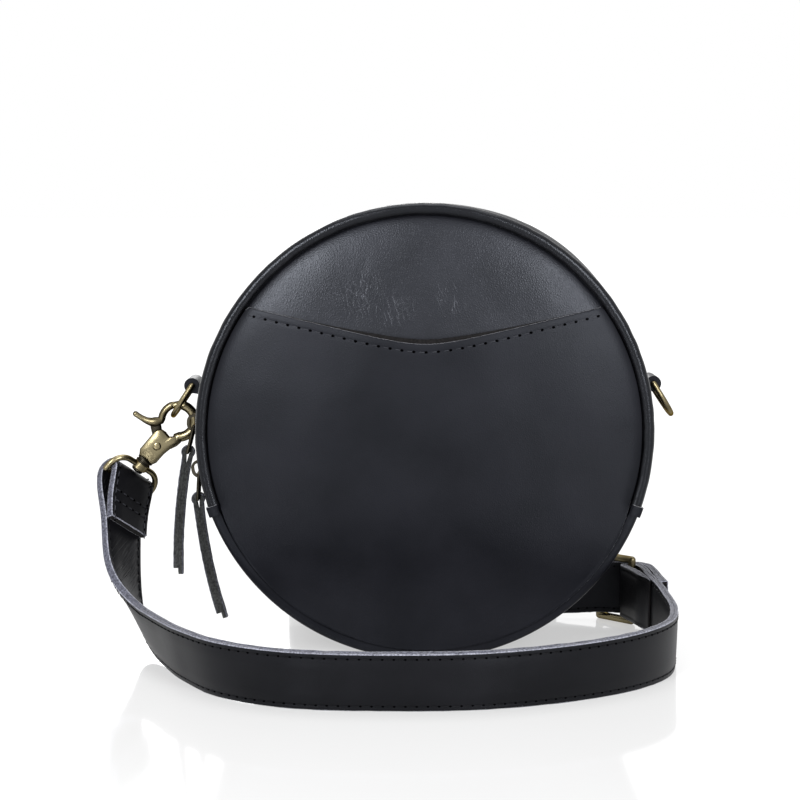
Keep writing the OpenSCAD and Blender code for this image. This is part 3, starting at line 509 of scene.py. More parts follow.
COIL_RIGHT_X = 31.0
COIL_R = 43.0
COIL_DRAW_IN = 4.75
COIL_LAST_R = 17.0
COIL_H = 12.7
COIL_END_X = 5.0
COIL_END_H = 15.6
COIL_END_STEPS = 8
HALF_TURN_STEPS = 24


def smooth_route(route, steps):
    """Catmull-Rom line through route points of any size."""
    rows = [tuple(2 * b - c for b, c in zip(route[0], route[1]))] + list(route)
    rows.append(tuple(2 * b - a for a, b in zip(route[-2], route[-1])))
    line = []
    for i in range(1, len(rows) - 2):
        for k in range(steps):
            t = k / steps
            line.append(tuple(
                q + ((r - p) * t + (2 * p - 5 * q + 4 * r - s) * t * t
                     + (3 * q - p - 3 * r + s) * t ** 3) / 2
                for p, q, r, s in zip(*rows[i - 1:i + 3])))
    return line + [tuple(route[-1])]


def half_coil(x, y, r_from, r_to, side, h_to=COIL_H):
    rows = []
    for i in range(HALF_TURN_STEPS + 1):
        t = i / HALF_TURN_STEPS
        r = r_from + (r_to - r_from) * t
        rows.append((x + side * r * sin(pi * t), y + side * r * cos(pi * t),
                     COIL_H + (h_to - COIL_H) * t, *UPRIGHT))
    return rows


def coil_line():
    """The flat coil behind the bag: half turns whose radius falls evenly."""
    r_2 = COIL_R - COIL_DRAW_IN
    r_3 = r_2 - COIL_DRAW_IN
    last_y = COIL_MID_Y - r_3 + COIL_LAST_R
    end_y = last_y + COIL_LAST_R
    rows = half_coil(COIL_LEFT_X, COIL_MID_Y, COIL_R, r_2, -1)
    rows += half_coil(COIL_RIGHT_X, COIL_MID_Y, r_2, r_3, 1)
    rows += half_coil(COIL_LEFT_X, last_y, COIL_LAST_R, COIL_LAST_R, -1, COIL_END_H)
    rows = [row for i, row in enumerate(rows) if i == 0 or dist(row, rows[i - 1]) > 0.01]
    rows += [(COIL_LEFT_X + (COIL_END_X - COIL_LEFT_X) * i / COIL_END_STEPS, end_y, COIL_END_H,
              *UPRIGHT) for i in range(1, COIL_END_STEPS + 1)]
    return rows


def place_of(row):
    return Vector(row[:3])


def strap_frames(line):
    """For each row: its middle, the ways across, outwards and ahead."""
    found = []
    for i, row in enumerate(line):
        ahead = (place_of(line[min(i + 1, len(line) - 1)])
                 - place_of(line[max(i - 1, 0)])).normalized()
        across = Vector(row[3:])
        across = (across - ahead * across.dot(ahead)).normalized()
        found.append((place_of(row), across, ahead.cross(across), ahead))
    return found


def lengths(line):
    """The way along a line up to each of its rows."""
    found = [0.0]
    for a, b in zip(line, line[1:]):
        found.append(found[-1] + (place_of(b) - place_of(a)).length)
    return found


def ease(s, length):
    """Falls softly from 1 at the start to 0 at the given length."""
    if s >= length:
        return 0.0
    return 1.0 if s <= 0 else (1 + cos(pi * s / length)) / 2


def shifted(frames_in, shifts):
    return [(p + out * shift, across, out, ahead)
            for (p, across, out, ahead), shift in zip(frames_in, shifts)]


FOLD_STEPS = 14


def fold_frames(end, offset, forward, spread):
    """Half round fold; spread widens it on the outer side."""
    place, across, out, ahead = end
    place = place + out * spread / 2
    radius = offset + spread / 2
    found = []
    for i in range(FOLD_STEPS + 1):
        a = pi * i / FOLD_STEPS
        way = out * cos(a) + ahead * forward * sin(a)
        run = ahead * forward * cos(a) - out * sin(a)
        found.append((place + way * radius, across * forward, way, run))
    return found


def inner_frames(frames_in, offset, forward):
    return [(p - out * offset, across * forward, -out, -ahead * forward)
            for p, across, out, ahead in frames_in]


# Outline of the strap: smooth faces with a stitch furrow, chamfers and a two-layer edge
FURROW = 2.2
FURROW_DEPTH = 0.16
STRAP_FACE_COUNT = 12


def strap_outline():
    half_w, half_t = STRAP_W / 2, STRAP_T / 2
    furrow_share = (half_w - FURROW) / half_w
    shoulder = 0.5 / half_w
    face = [(-1.0, -0.42), (-0.972, 0.0), (-furrow_share - shoulder, 0.02),
            (-furrow_share, -FURROW_DEPTH), (-furrow_share + shoulder, 0.04), (-0.4, 0.12)]
    top = [(half_w * w, half_t + n) for w, n in face]
    top += [(-w, n) for w, n in reversed(top)]
    edge = [(half_w, 0.18), (half_w - 0.22, 0.0), (half_w, -0.18)]
    return top + edge + [(-w, -n) for w, n in top + edge]


STRAP_OUTLINE = strap_outline()
EDGE_BAND = 0.3
END_STEP = 0.3
CUT_END_W = 0.975
CUT_END_T = 0.72
SKIVED_AWAY = 0.75


def strap_mesh(name, nodes, frames_in, cut_ends=(False, True), skived=0.0):
    """A strap along frames: leather faces, light chamfers and a raw edge.

    Over its skived length the far end thins towards the face that lies on the strap.
    """
    first, final = frames_in[0], frames_in[-1]
    stations = [first, (first[0] + first[3] * END_STEP, *first[1:])] + frames_in[1:-1]
    stations += [(final[0] - final[3] * END_STEP, *final[1:]), final]
    rings = []
    for number, (place, across, out, _ahead) in enumerate(stations):
        cut = (number == 0 and cut_ends[0]) or (number == len(stations) - 1 and cut_ends[1])
        gone = SKIVED_AWAY * ease((place - final[0]).length, skived) if skived else 0.0
        place = place - out * gone * STRAP_T / 2
        ring = []
        for w, n in STRAP_OUTLINE:
            n *= 1 - gone
            if cut:
                w, n = w * CUT_END_W, n * CUT_END_T
            p = place + across * w + out * n
            if abs(w) > STRAP_W / 2 - EDGE_BAND:
                p = p + out * wander(p, 1.6, 0.22) + across * wander(p, 1.1, 0.25, 3.0)
            ring.append(p)
        rings.append(ring)
    indices = []
    for i in range(len(rings) - 1):
        at_cut = (i == 0 and cut_ends[0]) or (i == len(rings) - 2 and cut_ends[1])
        for k in range(len(STRAP_OUTLINE)):
            spot = k % (STRAP_FACE_COUNT + 3)
            if spot in (0, STRAP_FACE_COUNT - 2) or (at_cut and not skived):
                indices.append(2)
            else:
                indices.append(0 if spot < STRAP_FACE_COUNT - 2 else 1)
    indices += [3, 3]
    strap = skin_object(name, rings, "bag", [STRAP_LEATHER, SUEDE_EDGE, LIGHT_EDGE, CUT_EDGE_AND_SHADE],
                        indices, sharp=50.0)
    stand_for(strap, "strap_leather", *nodes)
    return strap


EDGE_PITCH = 4.5
EDGE_THREAD_SHARE = 0.68
EDGE_THREAD_R = 0.3


def edge_stitches(name, frames_in, sides=(1, -1), material=THREAD):
    """Stitch rows near both edges of a strap, on the given sides."""
    places, gone, due = [], 0.0, EDGE_PITCH
    for (p, across, out, ahead), (q, *_rest) in zip(frames_in, frames_in[1:]):
        step = (q - p).length
        while gone + step >= due:
            middle = p.lerp(q, (due - gone) / step)
            for edge in (1, -1):
                for side in sides:
                    places.append((middle + across * edge * (STRAP_W / 2 - FURROW)
                                   + out * side * (STRAP_T / 2 - 0.02), ahead, out * side))
            due += EDGE_PITCH
        gone += step
    stitches(name, places, material, EDGE_PITCH * EDGE_THREAD_SHARE, EDGE_THREAD_R, hole_shade_r=0.43)


# The flap's two short rows of stitches: their places along it and the step across it
FLAP_ROWS = (11.5, 16.5)
FLAP_ROW_STEP = 4.4
LEFT_FOLD_SPREAD = 2.6
LEFT_FOLD_REACH = 13.0
SKIVED_L = 14.0


def turned_end(frames_in, along, at_start, reach, offset, spread=0.0):
    """A fold round a fitting and the layer that runs back under the strap."""
    from_end = along if at_start else [along[-1] - s for s in along]
    back = [f for f, s in zip(frames_in, from_end) if 0 < s <= reach]
    forward = -1 if at_start else 1
    back = back if at_start else back[::-1]
    end = frames_in[0] if at_start else frames_in[-1]
    return fold_frames(end, offset, forward, spread) + inner_frames(back, offset, forward)


def make_strap():
    """Both strap pieces: for each its piece, frames, length and folds."""
    front = smooth_route(FRONT_ROUTE, 9)
    along = lengths(front)
    total = along[-1]
    frames_front = strap_frames(front)
    main = shifted(frames_front, [
        FOLD_OFFSET * ease(s, FLAP_L) + BUCKLE_FOLD_OFFSET * ease(total - s, FOLD_TAIL_L)
        + LEFT_FOLD_SPREAD * exp(-(s / LEFT_FOLD_REACH) ** 2) for s in along])
    strap = strap_mesh("strap_first_piece", ["strap_front"], main, (False, False))
    edge_stitches("strap_first_stitches", main)

    flap = turned_end(frames_front, along, True, FLAP_L, FOLD_OFFSET, LEFT_FOLD_SPREAD)
    fold = strap_mesh("strap_left_fold", ["strap_fold_left"], flap)
    edge_stitches("strap_left_fold_stitches", flap, sides=(1,), material=PALE_THREAD)
    rows = []
    for row_at in FLAP_ROWS:
        p, across, out, _ahead = min(
            flap[FOLD_STEPS + 1:],
            key=lambda f: abs((f[0] - flap[FOLD_STEPS][0]).length - row_at))
        for k in range(-2, 3):
            rows.append((p + across * k * FLAP_ROW_STEP + out * (STRAP_T / 2 + 0.14), across, out))
    stitches("strap_flap_rows", rows, PALE_THREAD, 2.4, 0.3, hole_shade_r=0.55)

    tail = turned_end(frames_front, along, False, BUCKLE_TAIL_L, BUCKLE_FOLD_OFFSET)
    heel = strap_mesh("strap_buckle_fold", ["strap_fold_buckle"], tail, skived=SKIVED_L)

    second = smooth_route(TIP_ROUTE, 6)[:-1] + coil_line()
    second_along = lengths(second)
    second_total = second_along[-1]
    frames_second = strap_frames(second)
    rest = shifted(frames_second,
                   [FOLD_OFFSET * ease(second_total - s, FLAP_L) for s in second_along])
    coil = strap_mesh("strap_second_piece", ["strap_tip", "strap_coil"], rest, (True, False))
    edge_stitches("strap_second_stitches", rest)
    tail = turned_end(frames_second, second_along, False, FLAP_L, FOLD_OFFSET)
    end = strap_mesh("strap_rear_fold", ["strap_fold_rear"], tail)
    return (strap, main, total, [fold, heel]), (coil, rest, second_total, [end])


first_strap, second_strap = make_strap()


# Body shell; the panels' x and z are measured from the body's centre
RIM_FALL = 3.2
RIM_REACH = 2.2
PANEL_RIM_DIP = 1.1
LOW_RIM_DIP = 0.1
LOW_RIM_BELOW = -32.0
# The pocket's back layer stands this much higher at the mouth; the dark band up to it is painted
# shade of the gap into the pocket
MOUTH_LIP = 2.0
MOUTH_LIP_REACH = 38.0
MOUTH_INSET = 3.5
MOUTH_PITCH = 5.1
MOUTH_ROW_X = 76.0
PANEL_UNDER_PIPING = 1.6
# Where, in degrees, the pocket laps most over the binding and its light rim begins
LAP_AT = 315.0
LAP_SPREAD = 32.0
LIGHT_RIM_FROM = 297.0
# The gusset's crown: its middle, its half width and the angle where it stands most proud
CROWN_Y = 18.0
CROWN_HALF_W = 12.0
PROUD_AT = 57.0
PROUD_SPREAD = 24.0
# Creases: place, lean and length; pits: places only
CREASES = ((-28, 71, 0.25, 9), (-22, 64, -0.5, 6), (10, 62, 0.15, 7), (14, 58, 0.1, 5),
           (-12, 60, 1.2, 6))
CREASE_DEPTH = 0.13
PITS = ((58, 60.5), (60.5, 60), (57, 65), (45, 52))
PIT_DEPTH = 0.3
PIT_SPREAD = 0.35


def mouth_line(x, lift=0.0):
    return (MOUTH_H - CENTRE_H
            + MOUTH_RISE_SHARE * (sqrt(x * x + MOUTH_SOFT ** 2) - MOUTH_SOFT)
            + lift * exp(-(x / MOUTH_LIP_REACH) ** 2))


def mouth_radius(angle, lift=0.0):
    """How far a sheet cut along the mouth reaches from the centre at an angle."""
    a = radians(angle)
    low, high = 0.0, PANEL_R
    if high * sin(a) <= mouth_line(high * cos(a), lift):
        return high
    for _ in range(40):
        mid = (low + high) / 2
        if mid * sin(a) < mouth_line(mid * cos(a), lift):
            low = mid
        else:
            high = mid
    return low


def panel_height(x, z):
    """How far a panel's face stands from the body's middle plane, with a soft rim."""
    r = hypot(x, z)
    share = min(1.0, r / PANEL_R)
    return (PANEL_FACE + PANEL_BULGE * (1 - share ** 2) + RIM_FALL * (1 - share ** 6)
            - PANEL_RIM_DIP * exp(-(PANEL_R - r) / RIM_REACH)
            + wander((x, z, 0), 34.0, 0.4) + wander((x, z, 0), 12.0, 0.1))


def pocket_height(x, z):
    """The pocket's outer face, with a furrow along the stitches under its mouth."""
    r = hypot(x, z)
    share = min(1.0, r / PANEL_R)
    below = mouth_line(x) - z
    dip = PANEL_RIM_DIP if z > LOW_RIM_BELOW else LOW_RIM_DIP
    return (POCKET_FACE + POCKET_BULGE * (1 - share ** 2)
            - dip * exp(-max(0.0, PANEL_R - r) / RIM_REACH)
            - 0.1 * exp(-((below - MOUTH_INSET) / 0.7) ** 2)
            - 0.25 * exp(-max(0.0, below) / 0.5)
            + wander((x, z, 0), 34.0, 0.4) + wander((x, z, 4), 15.0, 0.12))


def creased_height(x, z):
    """The front panel's face, with shallow creases and pits above the pocket."""
    depth = 0.0
    for cx, cz, lean, long in CREASES:
        u = (x - cx) - lean * (z - cz)
        v = z - cz
        depth += CREASE_DEPTH * exp(-u ** 2 - (v / long) ** 2)
    for cx, cz in PITS:
        depth += PIT_DEPTH * exp(-((x - cx) ** 2 + (z - cz) ** 2) / PIT_SPREAD)
    return panel_height(x, z) - depth


# A sheet's rings of points and how its outer rim is rolled over the last of them
SHEET_STEPS = 300
SHEET_RINGS = 72
RIM_W = 0.6
RIM_DROP = 0.4
WELD_M = 1e-7


def round_sheet(node, height, side, reach, reach_back, skin, light_rim=None):
    """A bulging leather sheet for a solid; reach gives its edge at each angle."""
    points, faces, indices = [], [], []
    angles = [360.0 * k / SHEET_STEPS for k in range(SHEET_STEPS)]
    for layer, edge in ((0, reach), (1, reach_back)):
        for i in range(SHEET_RINGS + 1):
            share = sin(pi / 2 * i / SHEET_RINGS)
            for angle in angles:
                limit = edge(angle)
                r = limit * share
                if layer == 0 and i >= SHEET_RINGS - 1:
                    r = limit - (RIM_W if i < SHEET_RINGS else 0.0)
                x, z = r * cos(radians(angle)), r * sin(radians(angle))
                h = height(x, z) - layer * LEATHER_T
                if layer == 0 and i == SHEET_RINGS:
                    h -= RIM_DROP
                points.append(Vector((x, -side * h, CENTRE_H + z)))
    layer_size = (SHEET_RINGS + 1) * SHEET_STEPS
    for layer in (0, 1):
        for i in range(SHEET_RINGS):
            first = layer * layer_size + i * SHEET_STEPS
            for k, angle in enumerate(angles):
                a, b = first + k, first + (k + 1) % SHEET_STEPS
                faces.append((a, b, b + SHEET_STEPS, a + SHEET_STEPS))
                rim = light_rim and layer == 0 and i == SHEET_RINGS - 1 and light_rim(angle)
                indices.append(1 if layer else 3 if rim else 0)
    last = SHEET_RINGS * SHEET_STEPS
    for k in range(SHEET_STEPS):
        a, b = last + k, last + (k + 1) % SHEET_STEPS
        faces.append((a, b, b + layer_size, a + layer_size))
        indices.append(2)
    sheet = add_object(node + "_leather", points, faces, "bag",
                       [skin, LINING, CUT_EDGE_AND_SHADE, RIM_EDGE], indices, merge=WELD_M)
    stand_for(sheet, "body_leather", node)


def from_ends(angle):
    """How far an angle lies inside the lower arc between the zip's two ends."""
    return min(angle - ZIP_TO, 360 + ZIP_FROM - angle)


def clamp(value):
    return max(0.0, min(1.0, value))


def whole_disc(_angle):
    """The panels' rims reach a little way under the piping."""
    return PANEL_R + PANEL_UNDER_PIPING


def binding_lap(angle):
    """The pocket lies over the binding's inner edge, more at the lower right."""
    reach = 0.9 + 0.8 * exp(-((angle - LAP_AT) / LAP_SPREAD) ** 2)
    return reach * clamp(from_ends(angle) / 10.0)


def mouth_stitches():
    """One row of stitches that follows the pocket's mouth."""
    places = []
    x = -MOUTH_ROW_X
    while x < MOUTH_ROW_X:
        slope = MOUTH_RISE_SHARE * x / sqrt(x * x + MOUTH_SOFT ** 2)
        way = Vector((1, slope)).normalized()
        spot = Vector((x, mouth_line(x))) - Vector((-way.y, way.x)) * MOUTH_INSET
        h = pocket_height(spot.x, spot.y)
        normal = Vector((2 * POCKET_BULGE * spot.x / PANEL_R ** 2, -1,
                         2 * POCKET_BULGE * spot.y / PANEL_R ** 2)).normalized()
        along = Vector((way.x, 0, way.y))
        along = (along - normal * along.dot(normal)).normalized()
        if spot.length < PANEL_R - 2:
            places.append((Vector((spot.x, -h - 0.08, CENTRE_H + spot.y)), along, normal))
        x += MOUTH_PITCH * way.x
    stitches("mouth_stitches", places, PALE_THREAD, MOUTH_PITCH * 0.5, 0.2, hole_shade_r=0.62)


def gusset_swell(angle, r, y):
    """The gusset's leather stands a little proud, most at the upper right."""
    crown = max(0.0, 1 - ((abs(y) - CROWN_Y) / CROWN_HALF_W) ** 2)
    proud = 0.5 + 2.0 * exp(-((angle - PROUD_AT) / PROUD_SPREAD) ** 2)
    return crown * proud + wander((angle * 1.7, y, 0), 9.0, 0.25)


def bottom_swell(angle, r, y):
    """The bottom gusset's outer face laps over the zip's strips at its ends."""
    if r <= GUSSET_IN_R + 0.5:
        return 0.0
    lap = 1.3 * clamp((16.0 - from_ends(angle)) / 8.0)
    return lap + wander((angle * 1.7, y, 0), 14.0, 0.3)


def piping_swell(angle, r, y):
    return wander((angle * 1.7, r, y), 5.0, 0.18)


def pocket_rim_is_light(angle):
    """The cut rim shows as a light line along the mouth and at the lower right."""
    return mouth_radius(angle) < PANEL_R or LIGHT_RIM_FROM < angle < 360 + ZIP_FROM


def make_panels():
    round_sheet("front_panel", creased_height, 1, whole_disc, whole_disc, PANEL_LEATHER)
    round_sheet("back_panel", panel_height, -1, whole_disc, whole_disc, BODY_LEATHER)
    # At the mouth the pocket's dark cut band between its two layers is painted shade
    round_sheet("front_pocket", pocket_height, 1,
                lambda a: mouth_radius(a) + binding_lap(a),
                lambda a: mouth_radius(a, MOUTH_LIP) + binding_lap(a),
                BODY_LEATHER, pocket_rim_is_light)
    mouth_stitches()


# Cross sections of the back edge as (r, y); the front edge mirrors them
BINDING_PROFILE = ((97.2, 30.4), (97.0, 33.0), (97.6, 33.7), (98.6, 33.8), (100.6, 33.7),
                   (101.6, 33.1), (102.0, 32.0), (101.8, 30.6), (101.0, 30.1))
BINDING_END_PROFILE = ((97.6, 31.0), (97.6, 35.3), (98.3, 35.9), (101.6, 35.8), (102.7, 34.9),
                       (102.9, 31.0))
BINDING_ENDS = (("left", ZIP_TO - 0.2, ZIP_TO + 2.4),
                ("right", 360 + ZIP_FROM - 2.4, 360 + ZIP_FROM + 0.2))
ZIP_STITCHES = 86
ZIP_STITCH_Y = GUSSET_EDGE + 2.2


def on_side(side, profile):
    return [(r, side * y) for r, y in profile]


def gusset_profile(steps=12):
    low = GUSSET_EDGE + 0.4
    outer = [(GUSSET_OUT_R, low + (GUSSET_HALF_W - low) * k / steps) for k in range(steps + 1)]
    return ([(GUSSET_IN_R, GUSSET_EDGE), (GUSSET_OUT_R - 0.3, GUSSET_EDGE)] + outer
            + [(GUSSET_IN_R, GUSSET_HALF_W)])


def cover(node, profile, a_from, a_to, materials, **how):
    """A leather sweep round the body that stands for a solid."""
    piece = drum_sweep(node + "_leather", profile, a_from, a_to, materials, **how)
    stand_for(piece, "body_leather", node)


def make_edge(side, end):
    """Piping, binding, zip strip and their stitches on the front or the back."""
    cover(end + "_piping", circle_outline(PIPING_MID_R, side * PIPING_MID_Y, PIPING_R),
          ZIP_FROM, ZIP_TO, [PIPING_LEATHER, CUT_EDGE_AND_SHADE], steps=420, swell=piping_swell)
    cover(end + "_binding", on_side(side, BINDING_PROFILE), ZIP_TO, 360 + ZIP_FROM,
          [BODY_LEATHER, LIGHT_EDGE, CUT_EDGE_AND_SHADE], inner=1, steps=300)
    for place, a_from, a_to in BINDING_ENDS:
        lap = drum_sweep(end + "_binding_end_" + place, on_side(side, BINDING_END_PROFILE),
                         a_from, a_to, [BODY_LEATHER, RIM_EDGE], steps=12)
        stand_for(lap, "body_leather")
    cover("zip_gusset_" + end, on_side(side, gusset_profile()), ZIP_FROM, ZIP_TO,
          [BODY_LEATHER, CUT_EDGE_AND_SHADE], inner=1, swell=gusset_swell)
    places = []
    for i in range(ZIP_STITCHES):
        angle = ZIP_FROM + 2 + (ZIP_TO - ZIP_FROM - 4) * i / (ZIP_STITCHES - 1)
        r = GUSSET_OUT_R + gusset_swell(angle, GUSSET_OUT_R, ZIP_STITCH_Y)
        places.append(stitch_place(angle, r, side * ZIP_STITCH_Y))
    stitches("zip_" + end + "_stitches", places, THREAD, 3.0, 0.33)


def make_bottom():
    profile = [(GUSSET_OUT_R, -GUSSET_HALF_W + 2 * GUSSET_HALF_W * k / 24) for k in range(25)]
    profile += [(GUSSET_IN_R, GUSSET_HALF_W), (GUSSET_IN_R, -GUSSET_HALF_W)]
    cover("bottom_gusset", profile, ZIP_TO, 360 + ZIP_FROM, [BODY_LEATHER, CUT_EDGE_AND_SHADE],
          steps=240, swell=bottom_swell)


make_panels()
make_edge(-1, "front")
make_edge(1, "back")
make_bottom()


# Zip: teeth are (r, inner y, outer y, share of the tooth's length) from the inside out
TOOTH_L = 1.5
TOOTH_PITCH = 1.55
TOOTH_R = 99.3
TOOTH_LAYERS = ((97.7, -0.5, 3.4, 0.8), (98.6, -0.8, 3.4, 1.0), (100.1, -0.8, 3.2, 1.0),
                (100.9, -0.3, 2.7, 0.6))
TAPE_EDGE_PROFILE = ((98.2, 0.8), (98.9, 0.8), (98.9, 3.4), (98.2, 3.4))


def make_zip(side, end, shift):
    """A row of moulded teeth, shifted to mesh with the other row, and its tape's edge."""
    points, faces = [], []
    count = int(radians(ZIP_TO - ZIP_FROM) * TOOTH_R / TOOTH_PITCH / 2)
    half = degrees(TOOTH_L / TOOTH_R) / 2
    for i in range(count):
        angle = ZIP_FROM + 0.5 + (ZIP_TO - ZIP_FROM - 1) * (i + shift) / count
        add_skin(points, faces, [
            [on_drum(angle + sign * half * share, r, side * y)
             for y, sign in ((y_in, -1), (y_out, -1), (y_out, 1), (y_in, 1))]
            for r, y_in, y_out, share in TOOTH_LAYERS])
    teeth = add_object("zip_teeth_" + end + "_row", points, faces, "bag", [DARK_BRASS],
                       sharp=30.0)
    stand_for(teeth, "dark_brass", "zip_teeth_" + end)
    edge = drum_sweep("zip_tape_edge_" + end, on_side(side, TAPE_EDGE_PROFILE), ZIP_FROM, ZIP_TO,
                      [TAPE])
    stand_for(edge, "zip_tape")


make_zip(-1, "front", 0.0)
make_zip(1, "back", 0.5)


# Leather pulls: one strip folded round the link's lower wire, its two layers a little uneven
PULL_T = 2.2
PULL_W = 4.2
PULL_L = 57.0
PULL_STEP = 2.8
PULL_NECK = 6.0
PULL_GAP = 0.06
PULL_STEPS = 30
EYE_R = 0.95
EYE_STEPS = 18
EYE_FROM = 35.0
PULL_OUTLINE = ((-0.5, 0.3), (-0.4, 0.5), (0.4, 0.5), (0.5, 0.3), (0.5, -0.5), (-0.5, -0.5))


def bent(s, bend):
    a = radians(bend) * s / PULL_L
    r = PULL_L / radians(bend)
    return Vector((r * sin(a), r * (1 - cos(a)))), Vector((-sin(a), cos(a)))


def pull_layer(reach, bend, side):
    layer = []
    for i in range(PULL_STEPS + 1):
        p, n = bent(PULL_NECK + (reach - PULL_NECK) * i / PULL_STEPS, bend)
        layer.append((p + n * side * (PULL_T / 2 + PULL_GAP), n * side))
    return layer


def make_pull(place, pivot, start, bend):
    """Up one layer, round the pivot and down the other, in the plane seen from the front."""
    turn = radians(start)
    ahead = Vector((cos(turn), 0, sin(turn)))
    aside = Vector((-sin(turn), 0, cos(turn)))
    eye = []
    for i in range(1, EYE_STEPS):
        a = radians(EYE_FROM + (360 - 2 * EYE_FROM) * i / EYE_STEPS)
        way = Vector((cos(a), sin(a)))
        eye.append((way * (EYE_R + PULL_T / 2), way))
    strip = pull_layer(PULL_L, bend, 1)[::-1] + eye + pull_layer(PULL_L - PULL_STEP, bend, -1)
    rings = []
    for p, n in strip:
        ring = []
        for w, t in PULL_OUTLINE:
            q = p + n * t * PULL_T
            spot = pivot + ahead * q.x + aside * q.y + Vector((0, w * PULL_W, 0))
            ring.append(spot + ahead * wander(spot, 1.2, 0.1)
                        + aside * wander(spot, 1.5, 0.16, 2.0))
        rings.append(ring)
    indices = [1 if k in (0, 2) else 0 for k in range(len(PULL_OUTLINE))] * (len(rings) - 1)
    pull = skin_object(place + "_pull_leather", rings, place + "_pull",
                       [THONG_LEATHER, SUEDE_EDGE], indices + [1, 1], sharp=35.0)
    stand_for(pull, "body_leather", "pull_thong_" + place)


make_pull("upper", Vector((-108.425, 0, 87.423)), -101.0, 12.0)
make_pull("lower", Vector((-104.002, 0, 65.699)), -85.0, 12.5)


# Trigger hooks, in the plane of their ring: u runs to the eye, v to the thumb lever
class HookPlane:
    def __init__(self, at, u, v):
        self.at = Vector(at)
        self.u = Vector(u)
        self.v = Vector(v)
        self.n = self.u.cross(self.v)

    def spot(self, u, v, n=0.0):
        return self.at + self.u * u + self.v * v + self.n * n


def arc_points(radius, a_from, a_to, steps):
    angles = [radians(a_from + (a_to - a_from) * i / steps) for i in range(steps + 1)]
    return [(radius * cos(a), radius * sin(a)) for a in angles]


# Bars are (u, v) points and radii, turned pieces (height, radius)
JAW = arc_points(7.6, 122, 322, 60) + [(7.4, -5.1), (9.2, -4.9), (11.5, -4.0)]
JAW_RADII = [1.5 + 0.75 * min(1.0, i / 12) + 0.15 * max(0.0, (i - 30) / 30) for i in range(61)]
JAW_RADII += [2.35, 2.25, 2.1]
LEVER = arc_points(7.9, 134, 52, 30) + [(6.3, 7.1), (7.6, 8.1), (8.8, 9.6), (9.6, 11.6),
                                        (10.1, 14.0), (10.4, 16.2), (10.5, 17.4)]
LEVER_RADII = [1.2 + 0.55 * min(1.0, i / 7) for i in range(31)]
LEVER_RADII += [2.05, 2.3, 2.0, 1.6, 1.35, 1.3, 1.35]
ARM = [(7.6, 8.0), (9.0, 6.2), (11.2, 3.6), (14.5, 0.8)]
ARM_RADII = [2.3, 2.6, 2.4, 1.9]
COLLAR = ((23.6, 2.6), (23.6, 3.5), (24.1, 3.9), (24.6, 3.9), (24.9, 3.3), (25.4, 3.3),
          (25.6, 3.8), (26.0, 3.8), (26.1, 3.2), (26.1, 1.8), (29.7, 1.8), (29.7, 2.8),
          (30.2, 3.0), (30.9, 2.6), (31.2, 1.6), (31.3, 0.4))
RIVET = ((-3.0, 0.3), (-2.95, 1.2), (-2.75, 1.8), (-2.35, 2.2), (-2.3, 1.5), (2.3, 1.5),
         (2.35, 2.2), (2.75, 1.8), (2.95, 1.2), (3.0, 0.3))
RIVET_U = 15.4
PLATE = ((8.6, -1.5), (8.0, 1.2), (8.3, 3.4), (9.2, 4.7), (10.6, 5.3), (21.6, 5.3), (24, 3.7),
         (24, -3.7), (21.8, -4.8), (16.5, -4.9), (12.6, -5.6), (9.6, -6.6), (7.0, -7.3),
         (5.6, -7.0), (5.6, -4.0), (7.4, -2.9))
PLATE_MID = Vector((15.0, -0.6))
PLATE_ROUNDING = 5.0
# The plate's layers: height, how full its outline is, and how far it closes to the middle
PLATE_LAYERS = ((-2.5, 0.86, 0.6), (-2.3, 0.86, 0.0), (-2.05, 0.96, 0.0), (-1.6, 1.0, 0.0),
                (1.6, 1.0, 0.0), (2.05, 0.96, 0.0), (2.3, 0.86, 0.0), (2.5, 0.86, 0.6))


def plate_layer(plane, n, full, closed):
    ring = []
    for u, v in PLATE:
        p = Vector((u, v))
        p += (PLATE_MID - p).normalized() * (1 - full) * PLATE_ROUNDING
        p = p.lerp(PLATE_MID, closed)
        ring.append(plane.spot(p.x, p.y, n))
    return ring


def make_hook(side, plane):
    """Body with jaw and collar, gate with thumb lever, and rivet; gives the three pieces."""
    body = side + "_hook"
    brass = HOOK_BRASS[side]

    def bar(name, spots, radii, on, material, **how):
        path = [plane.spot(u, v) for u, v in spots]
        return tube(side + name, path, radii, on, material, plane.n, **how)

    jaw = bar("_jaw", JAW, JAW_RADII, body, brass)
    layers = [plate_layer(plane, *layer) for layer in PLATE_LAYERS]
    plate = skin_object(side + "_plate", layers, body, [brass], sharp=50.0)
    collar = lathe(side + "_collar", plane.spot, COLLAR, body, DARK_BRASS, 32, 35.0)
    hook = join(side + "_hook_metal", [jaw, plate, collar])
    stand_for(hook, "antique_brass", "hook_" + side + "_body")

    lever = bar("_lever", LEVER, LEVER_RADII, side + "_gate", brass)
    arm = bar("_arm", ARM, ARM_RADII, side + "_gate", DARK_BRASS, flat=0.32)
    gate = join(side + "_gate_metal", [lever, arm])
    stand_for(gate, "antique_brass", "hook_" + side + "_gate")

    rivet = lathe(side + "_rivet_metal", lambda n, u, v: plane.spot(RIVET_U + u, v, n), RIVET,
                  body, BRASS, 28, 40.0)
    stand_for(rivet, "antique_brass", "hook_" + side + "_rivet")
    return [hook, gate, rivet]


HOOK_TURN = radians(130.46)
make_hook("left", HookPlane((-114.9, RING_Y, 99.6),
                            (cos(HOOK_TURN), 0, -sin(HOOK_TURN)),
                            (-sin(HOOK_TURN), 0, -cos(HOOK_TURN))))
rear_hook = make_hook("rear", HookPlane((42.5, 93.5, 15.6), (-1, 0, 0), (0, 1, 0)))


def declare_strap(piece, frames_in, length, folds, route, lay, fittings):
    """Both strap pieces end in metal fittings; this only works out a piece's first route point and
    frame middles in metres, and keeps neither.
    """
    [c * MM for c in route[0][:3]]
    [f[0] * MM for f in frames_in]


